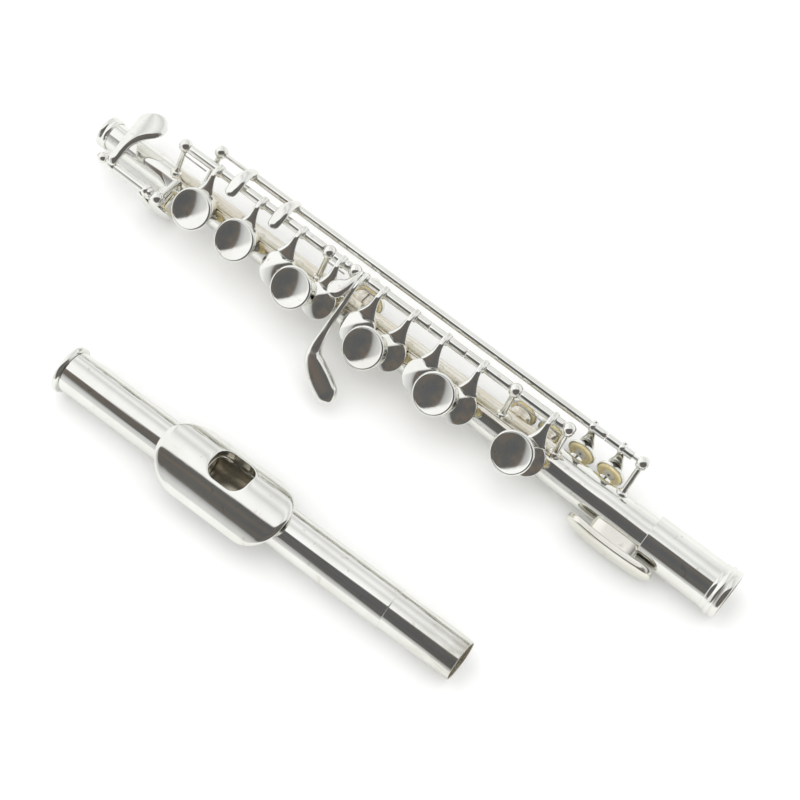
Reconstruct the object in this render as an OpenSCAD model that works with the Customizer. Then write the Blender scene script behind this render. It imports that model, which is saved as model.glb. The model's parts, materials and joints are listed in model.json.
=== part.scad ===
// Piccolo in two pieces: the keyed body on its side and the head joint beside it.
// The body axis runs along X with the barrel at +X, the head lies on the -Y side, Z is up.

/* [Body] */
// Length of the body from foot to barrel mouth
body_l = 216; // [208:1:232]
// Outer radius of the body tube at the foot
tube_r_foot = 4.1; // [4:0.1:4.6]
// Outer radius of the body tube where it enters the barrel
tube_r_top = 5.45; // [5.2:0.05:5.6]
// Wall of the body tube
tube_wall = 0.5; // [0.4:0.05:0.7]
// Outer radius of the barrel sleeve
barrel_r = 6.55; // [6.4:0.05:6.8]
// Length of the barrel over the tube and the socket
barrel_l = 25.2; // [24.4:0.2:28]
// Outer radius of the thick ring at the barrel mouth, on which the body lies
ring_r = 7.3; // [7.1:0.05:7.6]

/* [Keys] */
// Direction of the finger tone holes, from straight up toward the back
hole_a = -37; // [-40:1:-35]
// Direction of the main rod
rod_a = 28.5; // [27:0.5:31]
// Distance of the main rod from the body axis
rod_d = 13.2; // [12.8:0.1:13.6]
// How far the open keys stand up from their tone holes, in degrees
open_a = 8; // [6:0.1:9]
// Outer radius of the finger key cups
cup_r = 5.1; // [4.8:0.1:5.2]
// Outer radius of the finger dishes
dish_r = 5.55; // [5:0.05:5.7]
// Level of the tone hole rims above the body axis
seat_z = 6.6; // [6.4:0.1:6.8]
// Thickness of a pad
pad_t = 1.5; // [1.2:0.1:1.6]
// Outer radius of a hinge tube on the main rod
tube_r = 1.35; // [1.2:0.05:1.5]
// Radius of the hinge rods
rod_r = 0.75; // [0.6:0.05:0.85]

/* [Head] */
// Length of the head tube from the crown to the open end
head_l = 130; // [120:1:140]
// Outer radius of the head tube
head_r = 6; // [5.97:0.01:6.1]
// Outer radius of the crown ring
crown_r = 7.1; // [6.6:0.1:7.4]
// Length of the tenon that goes into the barrel
tenon_l = 22; // [18:1:22]
// Distance of the head axis from the body axis
head_gap = 58.3; // [54:0.1:70]
// Angle between the head and the body as they lie
head_turn = 1.8; // [0:0.1:3]
// Length of the lip plate
lip_l = 40.6; // [36:0.2:44]
// Length of the embouchure hole
mouth_l = 11.6; // [10:0.1:12.5]
// Width of the embouchure hole
mouth_w = 9.8; // [8.5:0.1:10.4]

/* [Hidden] */
$fn = 64;
// Play between a turning piece and its rod
run_gap = 0.03;
// Play between two pieces soldered or pressed together
fit_gap = 0.02;
// Play between the tenon and the barrel socket
tenon_gap = 0.03;
// Free gap between neighbouring pieces of the keywork
key_gap = 0.3;
// Step from the head tube down to its tenon
tenon_step = 0.2;
// Thickness of a cup's skirt
skirt_w = 0.35;
axis_h = ring_r;
head_h = crown_r;
tenon_r = head_r - tenon_step;
socket_r = tenon_r + tenon_gap;
head_bore = head_r - 0.6;
x_mid = body_l / 2;
barrel_x = body_l - barrel_l;
socket_x = barrel_x + 3.2;
tube_end = socket_x - 0.2;
head_x0 = 43.7;
mouth_x = 54;
mouth_a = 20;
screw_r = 1.2;
cork_x = mouth_x - 17.2;
cork_l = 9;
small_cup_r = 4.2;
hole_r = 3.4;
small_hole_r = 2.6;
trill_hole_r = 1.7;
chimney_w = 0.5;
// Directions of the tone holes and rods that are not in the finger row
g_sharp_a = 105.5;
e_flat_a = -98;
thumb_a = 102;
trill_a = 110;
trill_rod_a = 48.4;
trill_rod_d = 15.4;
trill_seat = 6;
e_flat_rod_a = -55.9;
e_flat_rod_d = 11.2;
e_flat_seat = 8;
thumb_rod_a = 150;
thumb_rod_d = 6.95;
thin_tube_r = 1.2;
thin_rod_r = 0.6;
trill_tube_r = 1.25;
trill_open_a = 10;
post_foot_a = 14;
e_flat_foot_a = -15;
thumb_open_a = 5;
// Hand rest: direction, size of its block, radius of its plate's ends and of its bow
rest_a = -92;
rest_block = [12.6, 5.2, 5.2];
rest_end_r = 4.3;
rest_bow = 70;
// Stations along the body from the foot, all in proportion to its length
sx = body_l / 216;
post_x = [26.3 * sx, 78.2 * sx, 87.2 * sx, 141.6 * sx, 158.9 * sx];
trill_post_x = [34.6 * sx, 178.9 * sx];
e_flat_post_x = [8.4 * sx, 28.8 * sx];
thumb_post_x = [140.2 * sx, 159 * sx];
finger_x = [39.8 * sx, 55.4 * sx, 69.2 * sx, 83.8 * sx, 97.4 * sx, 108 * sx,
    119.1 * sx, 131.8 * sx, 154.4 * sx];
trill_x = [163 * sx, 172.4 * sx];
thumb_x = [144.4 * sx, 153.6 * sx];
g_sharp_x = post_x[2] + 3.7;
e_flat_x = 27.2 * sx;
rest_x = barrel_x - rest_block[0] / 2 - 0.1;
trill_touch_x = [46.3 * sx, 61.7 * sx];
// Where two hinge tubes meet between the posts
split_x = [46.55 * sx, 61.75 * sx, 112.95 * sx, 125.15 * sx];
thumb_split_x = 149.15 * sx;
trill_tube_x = [44.3 * sx, 60.2 * sx, 167.2 * sx, 175.9 * sx];
// Posts: balls, the flat faces that the hinge tubes meet, the stem
post_ball = 2;
e_flat_ball = [1.55, 2.05];
thumb_ball = 1.25;
ball_face = 1.5;
post_neck = 0.85;
// Hinge tubes: their start from the middle of a post
tube_off = ball_face + key_gap;
thumb_off = ball_face + 0.1;
// Ring round a hinge tube where an arm crosses it
collar_w = 1.1;
collar_rise = 0.4;
// Slope of the G sharp touch
g_sharp_tilt = 26;
// Sideways middle of everything, so that the frame sits under the centre
lip_near = 11.3;
lip_far = 9.6;
lip_r_near = 13;
lip_r_far = 9.7;
lip_top = 8.3;
lip_round = 9.5;
y_near = -head_gap - lip_near * cos(head_turn)
    + (mouth_x - lip_l / 2 + lip_round - head_l / 2) * sin(head_turn);
y_far = trill_rod_d * sin(trill_rod_a) + post_ball;
y_mid = (y_near + y_far) / 2;

function tube_at(x) = tube_r_foot + (tube_r_top - tube_r_foot) * x / tube_end;
function off_y(a, ra, rd) = rd * sin(ra - a);
function off_z(a, ra, rd) = rd * cos(ra - a);
function bez(p, t) = pow(1 - t, 3) * p[0] + 3 * t * pow(1 - t, 2) * p[1]
    + 3 * t * t * (1 - t) * p[2] + pow(t, 3) * p[3];
function bez_dir(p, t) = 3 * pow(1 - t, 2) * (p[1] - p[0]) + 6 * t * (1 - t) * (p[2] - p[1])
    + 3 * t * t * (p[3] - p[2]);
function lean_of(v) = atan2(v[0], v[1]);
function side_of(v) = [-v[1], v[0]] / norm(v);

// Puts a shape at a station of the body, its Z pointing out from the axis at angle a
module at(x, a) {
    translate([x - x_mid, -y_mid, axis_h])
        rotate([-a, 0, 0])
            children();
}

// Puts a shape on the head joint, its X along the head tube from the crown
module on_head() {
    translate([head_x0 + head_l / 2 - x_mid, -head_gap - y_mid, head_h])
        rotate([0, 0, head_turn])
            translate([-head_l / 2, 0, 0])
                children();
}

// Lifts a key about its rod to the place where it rests
module lifted(ry, rz, angle) {
    translate([0, ry, rz])
        rotate([-sign(ry) * angle, 0, 0])
            translate([0, -ry, -rz])
                children();
}

// Round bar along X
module bar_x(r, len) {
    rotate([0, 90, 0])
        cylinder(r = r, h = len);
}

// Cone of the body tube, grown by g
module tube_cone(g) {
    at(-1, 0)
        rotate([0, 90, 0])
            cylinder(r1 = tube_at(-1) + g, r2 = tube_at(tube_end + 1) + g, h = tube_end + 2);
}

// Flat strip of even thickness along a smooth curve
module strip(p, thick) {
    steps = 14;
    upper = [for (i = [0:steps]) bez(p, i / steps) + side_of(bez_dir(p, i / steps)) * thick / 2];
    lower = [for (i = [steps:-1:0]) bez(p, i / steps) - side_of(bez_dir(p, i / steps)) * thick / 2];
    polygon(concat(upper, lower));
}

// Strip in the plane across the body, given as (y, z), made w wide along X
module bent_bar(p, thick, w) {
    translate([-w / 2, 0, 0])
        rotate([90, 0, 90])
            linear_extrude(w)
                strip(p, thick);
}

// Domed cup with its skirt, roof and low crown
module cup(r, seat) {
    dome = [for (i = [0:8]) [(r - 0.25) * cos(i * 11.25), seat + 2.05 + 0.55 * sin(i * 11.25)]];
    rotate_extrude()
        polygon(concat([[0, seat + pad_t], [r - skirt_w, seat + pad_t], [r - skirt_w, seat + 0.55],
            [r, seat + 0.55], [r, seat + 1.85]], dome));
}

// Room inside a cup, which no arm enters
module cup_room(r, seat) {
    translate([0, 0, seat - 1])
        cylinder(r = r - skirt_w, h = pad_t + 1);
}

// Pad in its cup, with a hole for the washer
module pad(r, seat) {
    difference() {
        translate([0, 0, seat + fit_gap])
            cylinder(r = r - skirt_w - 0.1, h = pad_t - 2 * fit_gap);
        translate([0, 0, seat - 1])
            cylinder(r = 0.8, h = 1.5);
    }
}

// Pointed arm that rises from a hinge tube and flares over the cup
module arm(ry, rz, r, shift, collar_r) {
    top = seat_z + 2.45;
    zc = rz + 1.4;
    ro = top - zc;
    yc = ry + 0.45 - ro;
    rim_y = 0.75 * r;
    flare = [for (i = [0:8]) let (t = i / 8)
        [shift * t + 0.6 + (0.667 * r - 0.6) * pow(1 - t, 2.2), rim_y + (ry - rim_y) * t]];
    intersection() {
        translate([-8, 0, 0])
            rotate([90, 0, 90])
                linear_extrude(16)
                    union() {
                        intersection() {
                            difference() {
                                translate([yc, zc])
                                    circle(ro);
                                translate([yc, zc])
                                    circle(ro - 0.9);
                            }
                            translate([yc, zc])
                                square(ro + 1);
                        }
                        translate([ry - 0.45, rz])
                            square([0.9, 1.4 + fit_gap]);
                        translate([1.2, top - 0.9])
                            square([max(0.1, yc - 1.2 + fit_gap), 0.9]);
                    }
        linear_extrude(20)
            polygon(concat([[-0.5, 1.2], [0.5, 1.2]], flare, [[0.6 + shift, ry + 2], [-0.6 + shift, ry + 2]],
                [for (i = [8:-1:0]) [2 * shift * i / 8 - flare[i][0], flare[i][1]]]));
    }
    translate([shift - collar_w / 2, ry, rz]) {
        bar_x(collar_r, collar_w);
        fin([[-1.2, collar_r - 0.4], [0.5, collar_r], [collar_r + 0.8, 0.6], [0.5, -0.9]]);
    }
}

// Pointed tip of an arm past its hinge tube, given from the hinge as (y, z)
module fin(p) {
    rotate([90, 0, 90])
        linear_extrude(collar_w)
            polygon(p);
}

// Hinge tube between two stations given from the cup, with its bore
module hinge(ry, rz, x0, x1, r) {
    translate([x0, ry, rz])
        bar_x(r, x1 - x0);
}
module hinge_bore(ry, rz, x0, x1, r) {
    translate([x0 - 1, ry, rz])
        bar_x(r, x1 - x0 + 2);
}

// One key of the finger row: cups at stations cx, arms set over by shift, tube from x0 to x1
module finger_key(cx, shift, x0, x1) {
    ry = off_y(hole_a, rod_a, rod_d);
    rz = off_z(hole_a, rod_a, rod_d);
    at(cx[0], hole_a)
        lifted(ry, rz, open_a)
            difference() {
                union() {
                    for (c = cx)
                        translate([c - cx[0], 0, 0]) {
                            cup(cup_r, seat_z);
                            arm(ry, rz, cup_r, shift, tube_r + collar_rise);
                        }
                    hinge(ry, rz, x0 - cx[0], x1 - cx[0], tube_r);
                }
                hinge_bore(ry, rz, x0 - cx[0], x1 - cx[0], rod_r + run_gap);
            }
}

module finger_pad(cx) {
    ry = off_y(hole_a, rod_a, rod_d);
    rz = off_z(hole_a, rod_a, rod_d);
    for (c = cx)
        at(c, hole_a)
            lifted(ry, rz, open_a)
                pad(cup_r, seat_z);
}

// Concave finger dish on a short stem, with a strap to the cups that carry it
module finger_dish(cx, dx, dy) {
    ry = off_y(hole_a, rod_a, rod_d);
    rz = off_z(hole_a, rod_a, rod_d);
    base = seat_z + 2.6 + fit_gap;
    floor_z = base + 1.0;
    rim_z = floor_z + 1.1;
    bowl = [for (i = [0:10]) [(dish_r - 0.35) * i / 10, rim_z - 0.75 + 0.75 * pow(i / 10, 2)]];
    x_a = min(min(cx), dx);
    x_b = max(max(cx), dx);
    at(cx[0], hole_a)
        lifted(ry, rz, open_a)
            translate([-cx[0], 0, 0])
                union() {
                    translate([dx, dy, 0])
                        rotate_extrude()
                            polygon(concat(bowl, [[dish_r, rim_z], [dish_r, rim_z - 0.4],
                                [dish_r - 0.5, rim_z - 0.75], [dish_r * 0.5, floor_z - 0.2],
                                [1.4, floor_z - 0.2], [1.2, base], [0, base]]));
                    if (x_b - x_a > 1)
                        translate([x_a - 1.1, -1.1 + min(0, dy), base])
                            cube([x_b - x_a + 2.2, 2.2 - min(0, dy), 0.85]);
                }
}

// Ball of a post, faced flat on both sides for the hinge tubes
module post_head(r) {
    intersection() {
        sphere(r);
        cube([2 * ball_face, 2 * r, 2 * r], center = true);
    }
}

// Ball post standing on the tube, bored for its rod
module post(x, foot_a, a, d, ball, neck, bore) {
    r = tube_at(x);
    foot = r * [sin(foot_a), cos(foot_a)];
    way = d * [sin(a), cos(a)] - foot;
    len = norm(way);
    at(x, 0)
        difference() {
            translate([0, foot[0], foot[1]])
                rotate([-lean_of(way), 0, 0])
                    union() {
                        translate([0, 0, len])
                            post_head(ball);
                        rotate_extrude()
                            polygon([[0, -1.2], [2 * neck, -1.2], [2 * neck, 0.2], [1.8 * neck, 0.5],
                                [1.3 * neck, 0.75], [1.08 * neck, 1.3], [neck, 2.2], [neck, len], [0, len]]);
                    }
            translate([-5, d * sin(a), d * cos(a)])
                bar_x(bore, 10);
        }
}

// Post whose foot stands at another angle on the tube than the way to its ball
module side_post(x, foot_a, a, d, ball, bore) {
    r = tube_at(x);
    neck = (r + 0.9) * [sin(foot_a), cos(foot_a)];
    way = d * [sin(a), cos(a)] - neck;
    at(x, 0)
        difference() {
            union() {
                translate([0, d * sin(a), d * cos(a)])
                    post_head(ball);
                translate([0, neck[0], neck[1]]) {
                    sphere(0.9);
                    rotate([-lean_of(way), 0, 0])
                        cylinder(r1 = 0.9, r2 = 0.75, h = norm(way));
                }
                rotate([-foot_a, 0, 0])
                    translate([0, 0, r - 1.2])
                        cylinder(r1 = 1.1, r2 = 0.9, h = 2.1);
            }
            translate([-5, d * sin(a), d * cos(a)])
                bar_x(bore, 10);
        }
}

// Tone hole rim and bore at a station
module chimney(x, a, r, seat) {
    at(x, a)
        cylinder(r = r + chimney_w, h = seat);
}

// Rims of all the tone holes, grown by g
module rims(g) {
    for (x = finger_x)
        chimney(x, hole_a, hole_r + g, seat_z);
    chimney(g_sharp_x, g_sharp_a, hole_r + g, seat_z);
    chimney(e_flat_x, e_flat_a, small_hole_r + g, e_flat_seat);
    for (x = trill_x)
        chimney(x, trill_a, trill_hole_r + g, trill_seat);
    for (x = thumb_x)
        chimney(x, thumb_a, small_hole_r + g, seat_z);
}
module chimney_bore(x, a, r) {
    at(x, a)
        cylinder(r = r, h = e_flat_seat + 1);
}

// Tapered body tube with its drawn tone holes
module body_tube() {
    color("silver")
        difference() {
            union() {
                at(0, 0)
                    rotate([0, 90, 0])
                        cylinder(r1 = tube_r_foot, r2 = tube_r_top, h = tube_end);
                rims(0);
            }
            at(-1, 0)
                rotate([0, 90, 0])
                    cylinder(r1 = tube_at(-1) - tube_wall, r2 = tube_at(tube_end + 1) - tube_wall,
                        h = tube_end + 2);
            for (x = finger_x)
                chimney_bore(x, hole_a, hole_r);
            chimney_bore(g_sharp_x, g_sharp_a, hole_r);
            chimney_bore(e_flat_x, e_flat_a, small_hole_r);
            for (x = trill_x)
                chimney_bore(x, trill_a, trill_hole_r);
            for (x = thumb_x)
                chimney_bore(x, thumb_a, small_hole_r);
        }
}

// Barrel sleeve with the socket for the head tenon
module barrel() {
    color("silver")
        difference() {
            at(barrel_x, 0)
                bar_x(barrel_r, barrel_l);
            at(socket_x, 0)
                bar_x(socket_r, barrel_l);
            tube_cone(fit_gap);
        }
}

// Double beaded ring at the barrel mouth
module barrel_ring() {
    color("silver")
        at(body_l - 4.8, 0)
            rotate([0, 90, 0])
                rotate_extrude()
                    polygon([[barrel_r + fit_gap, 0], [barrel_r + 0.2, 0], [barrel_r + 0.3, 0.5],
                        [barrel_r + 0.25, 1.3], [ring_r - 0.2, 1.6], [ring_r, 1.95], [ring_r, 2.35],
                        [ring_r - 0.2, 2.7], [ring_r - 0.45, 2.85], [ring_r - 0.45, 3.05],
                        [ring_r - 0.15, 3.3], [ring_r - 0.15, 4.4], [ring_r - 0.45, 4.8],
                        [barrel_r + fit_gap, 4.8]]);
}

// Two beads round the foot end
module foot_ring() {
    color("silver")
        difference() {
            at(0, 0)
                rotate([0, 90, 0])
                    rotate_extrude()
                        polygon([[2, 0], [tube_r_foot + 0.45, 0], [tube_r_foot + 0.7, 0.3],
                            [tube_r_foot + 0.7, 1.1], [tube_r_foot + 0.45, 1.4],
                            [tube_r_foot + 0.45, 1.7], [tube_r_foot + 0.65, 2], [tube_r_foot + 0.65, 2.6],
                            [tube_r_foot + 0.4, 3], [2, 3]]);
            tube_cone(fit_gap);
        }
}

// Hand rest: block on the near side and a bowed oval plate on it
module hand_rest() {
    color("silver")
        difference() {
            at(rest_x, rest_a)
                union() {
                    translate([-rest_block[0] / 2, -rest_block[1] / 2, 4])
                        cube(rest_block);
                    intersection() {
                        translate([0, 0, 6])
                            linear_extrude(6)
                                hull()
                                    for (x = [-8.6, 8.6])
                                        translate([x, 0])
                                            circle(rest_end_r, $fn = 32);
                        translate([0, -6, 10.3 - rest_bow])
                            rotate([-90, 0, 0])
                                difference() {
                                    cylinder(r = rest_bow, h = 12, $fn = 128);
                                    translate([0, 0, -1])
                                        cylinder(r = rest_bow - 1.4, h = 14, $fn = 128);
                                }
                    }
                }
            tube_cone(fit_gap);
        }
}

module posts_main() {
    color("silver")
        difference() {
            for (x = post_x)
                post(x, post_foot_a, rod_a, rod_d, post_ball, post_neck, rod_r + fit_gap);
            tube_cone(fit_gap);
            rims(fit_gap);
        }
}

module posts_trill() {
    color("silver")
        difference() {
            for (x = trill_post_x)
                post(x, trill_rod_a, trill_rod_a, trill_rod_d, post_ball, post_neck, thin_rod_r + run_gap);
            tube_cone(fit_gap);
        }
}

module posts_e_flat() {
    color("silver")
        difference() {
            union() {
                post(e_flat_post_x[0], e_flat_rod_a, e_flat_rod_a, e_flat_rod_d, e_flat_ball[0],
                    post_neck, rod_r + fit_gap);
                side_post(e_flat_post_x[1], e_flat_foot_a, e_flat_rod_a, e_flat_rod_d, e_flat_ball[1],
                    rod_r + fit_gap);
            }
            tube_cone(fit_gap);
            rims(fit_gap);
        }
}

module posts_thumb() {
    color("silver")
        difference() {
            for (x = thumb_post_x)
                post(x, thumb_rod_a, thumb_rod_a, thumb_rod_d, thumb_ball, 0.8 * post_neck,
                    thin_rod_r + fit_gap);
            tube_cone(fit_gap);
        }
}

module rod_main() {
    color("gray")
        at(post_x[0] - 1.6, rod_a)
            translate([0, 0, rod_d])
                bar_x(rod_r, post_x[4] - post_x[0] + 3.2);
}

module rod_e_flat() {
    color("gray")
        at(e_flat_post_x[0] - 1.6, e_flat_rod_a)
            translate([0, 0, e_flat_rod_d])
                bar_x(rod_r, e_flat_post_x[1] - e_flat_post_x[0] + 3.2);
}

module rod_thumb() {
    color("gray")
        at(thumb_post_x[0] - 1.3, thumb_rod_a)
            translate([0, 0, thumb_rod_d])
                bar_x(thin_rod_r, thumb_post_x[1] - thumb_post_x[0] + 2.6);
}

// Needle springs that reach along under the main rod from the posts
module springs() {
    color("gray")
        for (i = [0:4]) {
            foot = tube_at(post_x[i]) * [sin(post_foot_a), cos(post_foot_a)];
            ball = rod_d * [sin(rod_a), cos(rod_a)];
            spot = ball + (foot - ball) * 2.8 / norm(foot - ball);
            at(post_x[i] + (i == 4 ? -7.6 - post_neck - 0.1 : post_neck + 0.1), 0)
                translate([0, spot[0], spot[1]])
                    bar_x(0.25, i == 1 ? 5.5 : 7.6);
        }
}

// Keys of the finger row
module key_d() {
    color("silver")
        finger_key([finger_x[0]], -0.8, post_x[0] + tube_off, split_x[0] - key_gap / 2);
}
module key_e() {
    color("silver")
        finger_key([finger_x[1]], -0.6, split_x[0] + key_gap / 2, split_x[1] - key_gap / 2);
}
module key_f() {
    color("silver")
        finger_key([finger_x[2]], -0.2, split_x[1] + key_gap / 2, post_x[1] - tube_off);
}
module key_f_sharp() {
    color("silver")
        finger_key([finger_x[3]], -0.9, post_x[1] + tube_off, post_x[2] - tube_off);
}
module key_g() {
    color("silver")
        finger_key([finger_x[4], finger_x[5]], 0, g_sharp_x + 0.8 + key_gap, split_x[2] - key_gap / 2);
}
module key_a() {
    color("silver")
        finger_key([finger_x[6]], -0.3, split_x[2] + key_gap / 2, split_x[3] - key_gap / 2);
}
module key_b_flat() {
    color("silver")
        finger_key([finger_x[7]], -0.7, split_x[3] + key_gap / 2, post_x[3] - tube_off);
}
module key_c() {
    color("silver")
        finger_key([finger_x[8]], -0.3, post_x[3] + tube_off, post_x[4] - tube_off);
}

// Pads of the finger row
module pad_d() {
    color("khaki")
        finger_pad([finger_x[0]]);
}
module pad_e() {
    color("khaki")
        finger_pad([finger_x[1]]);
}
module pad_f() {
    color("khaki")
        finger_pad([finger_x[2]]);
}
module pad_f_sharp() {
    color("khaki")
        finger_pad([finger_x[3]]);
}
module pad_g() {
    color("khaki")
        finger_pad([finger_x[4], finger_x[5]]);
}
module pad_a() {
    color("khaki")
        finger_pad([finger_x[6]]);
}
module pad_b_flat() {
    color("khaki")
        finger_pad([finger_x[7]]);
}
module pad_c() {
    color("khaki")
        finger_pad([finger_x[8]]);
}

// Finger dishes
module dish_d() {
    color("silver")
        finger_dish([finger_x[0]], finger_x[0] + 0.2, -0.3);
}
module dish_e() {
    color("silver")
        finger_dish([finger_x[1]], finger_x[1], 0);
}
module dish_f() {
    color("silver")
        finger_dish([finger_x[2]], finger_x[2] + 7.1, -1.1);
}
module dish_g() {
    color("silver")
        finger_dish([finger_x[4], finger_x[5]], finger_x[4] + 5, -2.4);
}
module dish_a() {
    color("silver")
        finger_dish([finger_x[6]], finger_x[6] + 6.2, -0.8);
}
module dish_c() {
    color("silver")
        finger_dish([finger_x[8]], finger_x[8] - 3.3, -0.8);
}

// G sharp key: closed cup on the back, long lever across to a touch on the near side
module key_g_sharp() {
    ry = off_y(g_sharp_a, rod_a, rod_d);
    rz = off_z(g_sharp_a, rod_a, rod_d);
    hy = rod_d * sin(rod_a);
    hz = rod_d * cos(rod_a);
    color("silver")
        difference() {
            union() {
                at(g_sharp_x, g_sharp_a) {
                    cup(cup_r, seat_z);
                    translate([0.1, 0, 0])
                        bent_bar([[ry + 0.3, rz + 0.4], [ry + 3, rz + 2.6], [-6, seat_z + 2.1],
                            [-1.5, seat_z + 2.1]], 0.9, 1.4);
                    hinge(ry, rz, -0.6, 0.8, tube_r);
                }
                at(g_sharp_x - 0.4, 0) {
                    translate([0.2, 0, 0])
                        bent_bar([[hy - 0.2, hz + 0.9], [hy - 5, hz + 2.6], [-6.5, 12], [-14.8, 3.3]], 1.1, 1.2);
                    translate([0, -17.5, 2.2])
                        rotate([g_sharp_tilt, 0, 0])
                            translate([0, 17.5, -0.9])
                                intersection() {
                                    linear_extrude(1.8) {
                                        g_sharp_touch([-0.1, -14.3], 1.3, [1, -16.7], 2.2);
                                        g_sharp_touch([1, -16.7], 2.2, [3.1, -18.3], 2.9);
                                        g_sharp_touch([3.1, -18.3], 2.9, [6.9, -20.4], 3.3);
                                        g_sharp_touch([6.9, -20.4], 3.3, [9.4, -21.7], 3);
                                    }
                                    translate([5.6, -19.6, 1.8 - 5.5])
                                        rotate([0, 90, -36])
                                            cylinder(r = 5.5, h = 40, center = true);
                                }
                }
            }
            at(g_sharp_x, g_sharp_a) {
                hinge_bore(ry, rz, -0.6, 0.8, rod_r + run_gap);
                cup_room(cup_r, seat_z);
            }
        }
}

// Outline given as the child, thick at its middle and domed by a sphere of radius r
module domed(mid, thick, r) {
    intersection() {
        linear_extrude(thick)
            children();
        translate([mid[0], mid[1], thick - r])
            sphere(r, $fn = 96);
    }
}

// Stretch of the E flat touch from a round of radius r to one of radius q at x
module spoon(y0, r, x, y1, q) {
    hull() {
        translate([x * 0.3, y0])
            circle(r, $fn = 32);
        translate([x, y1])
            circle(q, $fn = 32);
    }
}

// One stretch of the G sharp touch between two rounds
module g_sharp_touch(p, r, q, s) {
    hull() {
        translate(p)
            circle(r, $fn = 32);
        translate(q)
            circle(s, $fn = 32);
    }
}
module pad_g_sharp() {
    color("khaki")
        at(g_sharp_x, g_sharp_a)
            pad(cup_r, seat_z);
}

// Side lever with a teardrop touch over the F sharp key
module lever_b_flat() {
    hy = rod_d * sin(rod_a);
    hz = rod_d * cos(rod_a);
    x = post_x[2] + 2.3;
    color("silver")
        difference() {
            at(x, 0) {
                translate([-0.5, hy, hz])
                    bar_x(tube_r, 1);
                translate([-0.1, 0, 0])
                    bent_bar([[hy + 0.2, hz + 0.9], [hy - 0.2, hz + 2.4], [hy - 2, 14.1], [1, 14.1]], 0.9, 0.8);
                translate([0, 0, 13.5])
                    domed([-2, -1.3], 1.3, 7)
                        hull() {
                            translate([-0.3, 1])
                                circle(0.8, $fn = 32);
                            translate([-2.2, -1.6])
                                circle(2.3, $fn = 32);
                        }
            }
            at(x - 2, rod_a)
                translate([0, 0, rod_d])
                    bar_x(rod_r + run_gap, 4);
        }
}

// Small cup with a long arm to the trill rod
module trill_cup(x) {
    ry = off_y(trill_a, trill_rod_a, trill_rod_d);
    rz = off_z(trill_a, trill_rod_a, trill_rod_d);
    at(x, trill_a)
        lifted(ry, rz, trill_open_a) {
            cup(small_cup_r, trill_seat);
            intersection() {
                bent_bar([[ry - 0.1, rz + 0.5], [ry + 1.6, rz + 1.6], [ry + 7, trill_seat + 3.4],
                    [0.8, trill_seat + 2.1]], 0.9, 6);
                linear_extrude(20)
                    polygon([[-1.6, 2], [1.6, 2], [2.4, -2.4], [1.5, -5], [0.95, -8], [0.6, ry - 2],
                        [-0.6, ry - 2], [-0.95, -8], [-1.5, -5], [-2.4, -2.4]]);
            }
            translate([-collar_w / 2, ry, rz]) {
                bar_x(trill_tube_r + collar_rise, collar_w);
                fin([[0.9, 1.1], [-3.45, 1.2], [-0.6, -1]]);
            }
        }
}

// Curved touch bar from the trill rod over the main rod
module trill_touch(x) {
    hy = trill_rod_d * sin(trill_rod_a);
    hz = trill_rod_d * cos(trill_rod_a);
    at(x, 0)
        intersection() {
            bent_bar([[hy - 0.3, hz + 0.5], [hy - 1.6, 15.5], [hy - 6, 15.7], [0.5, 12.3]], 1.3, 6);
            linear_extrude(20)
                hull() {
                    translate([0, 2.3])
                        circle(1.6, $fn = 32);
                    translate([0, hy])
                        circle(1.1, $fn = 32);
                }
        }
}

// Lower trill key on the outer tube
module key_trill_low() {
    color("silver")
        difference() {
            union() {
                trill_cup(trill_x[0]);
                trill_touch(trill_touch_x[1]);
                at(trill_tube_x[1], trill_rod_a)
                    translate([0, 0, trill_rod_d])
                        bar_x(trill_tube_r, trill_tube_x[2] - trill_tube_x[1]);
            }
            at(trill_tube_x[1] - 1, trill_rod_a)
                translate([0, 0, trill_rod_d])
                    bar_x(thin_rod_r + run_gap, trill_tube_x[2] - trill_tube_x[1] + 2);
        }
}
module pad_trill_low() {
    ry = off_y(trill_a, trill_rod_a, trill_rod_d);
    rz = off_z(trill_a, trill_rod_a, trill_rod_d);
    color("khaki")
        at(trill_x[0], trill_a)
            lifted(ry, rz, trill_open_a)
                pad(small_cup_r, trill_seat);
}

// Upper trill key on the inner rod that turns in the posts
module key_trill_high() {
    color("silver")
        union() {
            trill_cup(trill_x[1]);
            trill_touch(trill_touch_x[0]);
            at(trill_post_x[0] - 1.2, trill_rod_a)
                translate([0, 0, trill_rod_d])
                    bar_x(thin_rod_r, trill_post_x[1] - trill_post_x[0] + 2.4);
            at(trill_tube_x[0], trill_rod_a)
                translate([0, 0, trill_rod_d])
                    bar_x(trill_tube_r, trill_tube_x[1] - trill_tube_x[0] - key_gap);
            at(trill_tube_x[2] + key_gap, trill_rod_a)
                translate([0, 0, trill_rod_d])
                    bar_x(trill_tube_r, trill_tube_x[3] - trill_tube_x[2] - key_gap);
        }
}
module pad_trill_high() {
    ry = off_y(trill_a, trill_rod_a, trill_rod_d);
    rz = off_z(trill_a, trill_rod_a, trill_rod_d);
    color("khaki")
        at(trill_x[1], trill_a)
            lifted(ry, rz, trill_open_a)
                pad(small_cup_r, trill_seat);
}

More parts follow.
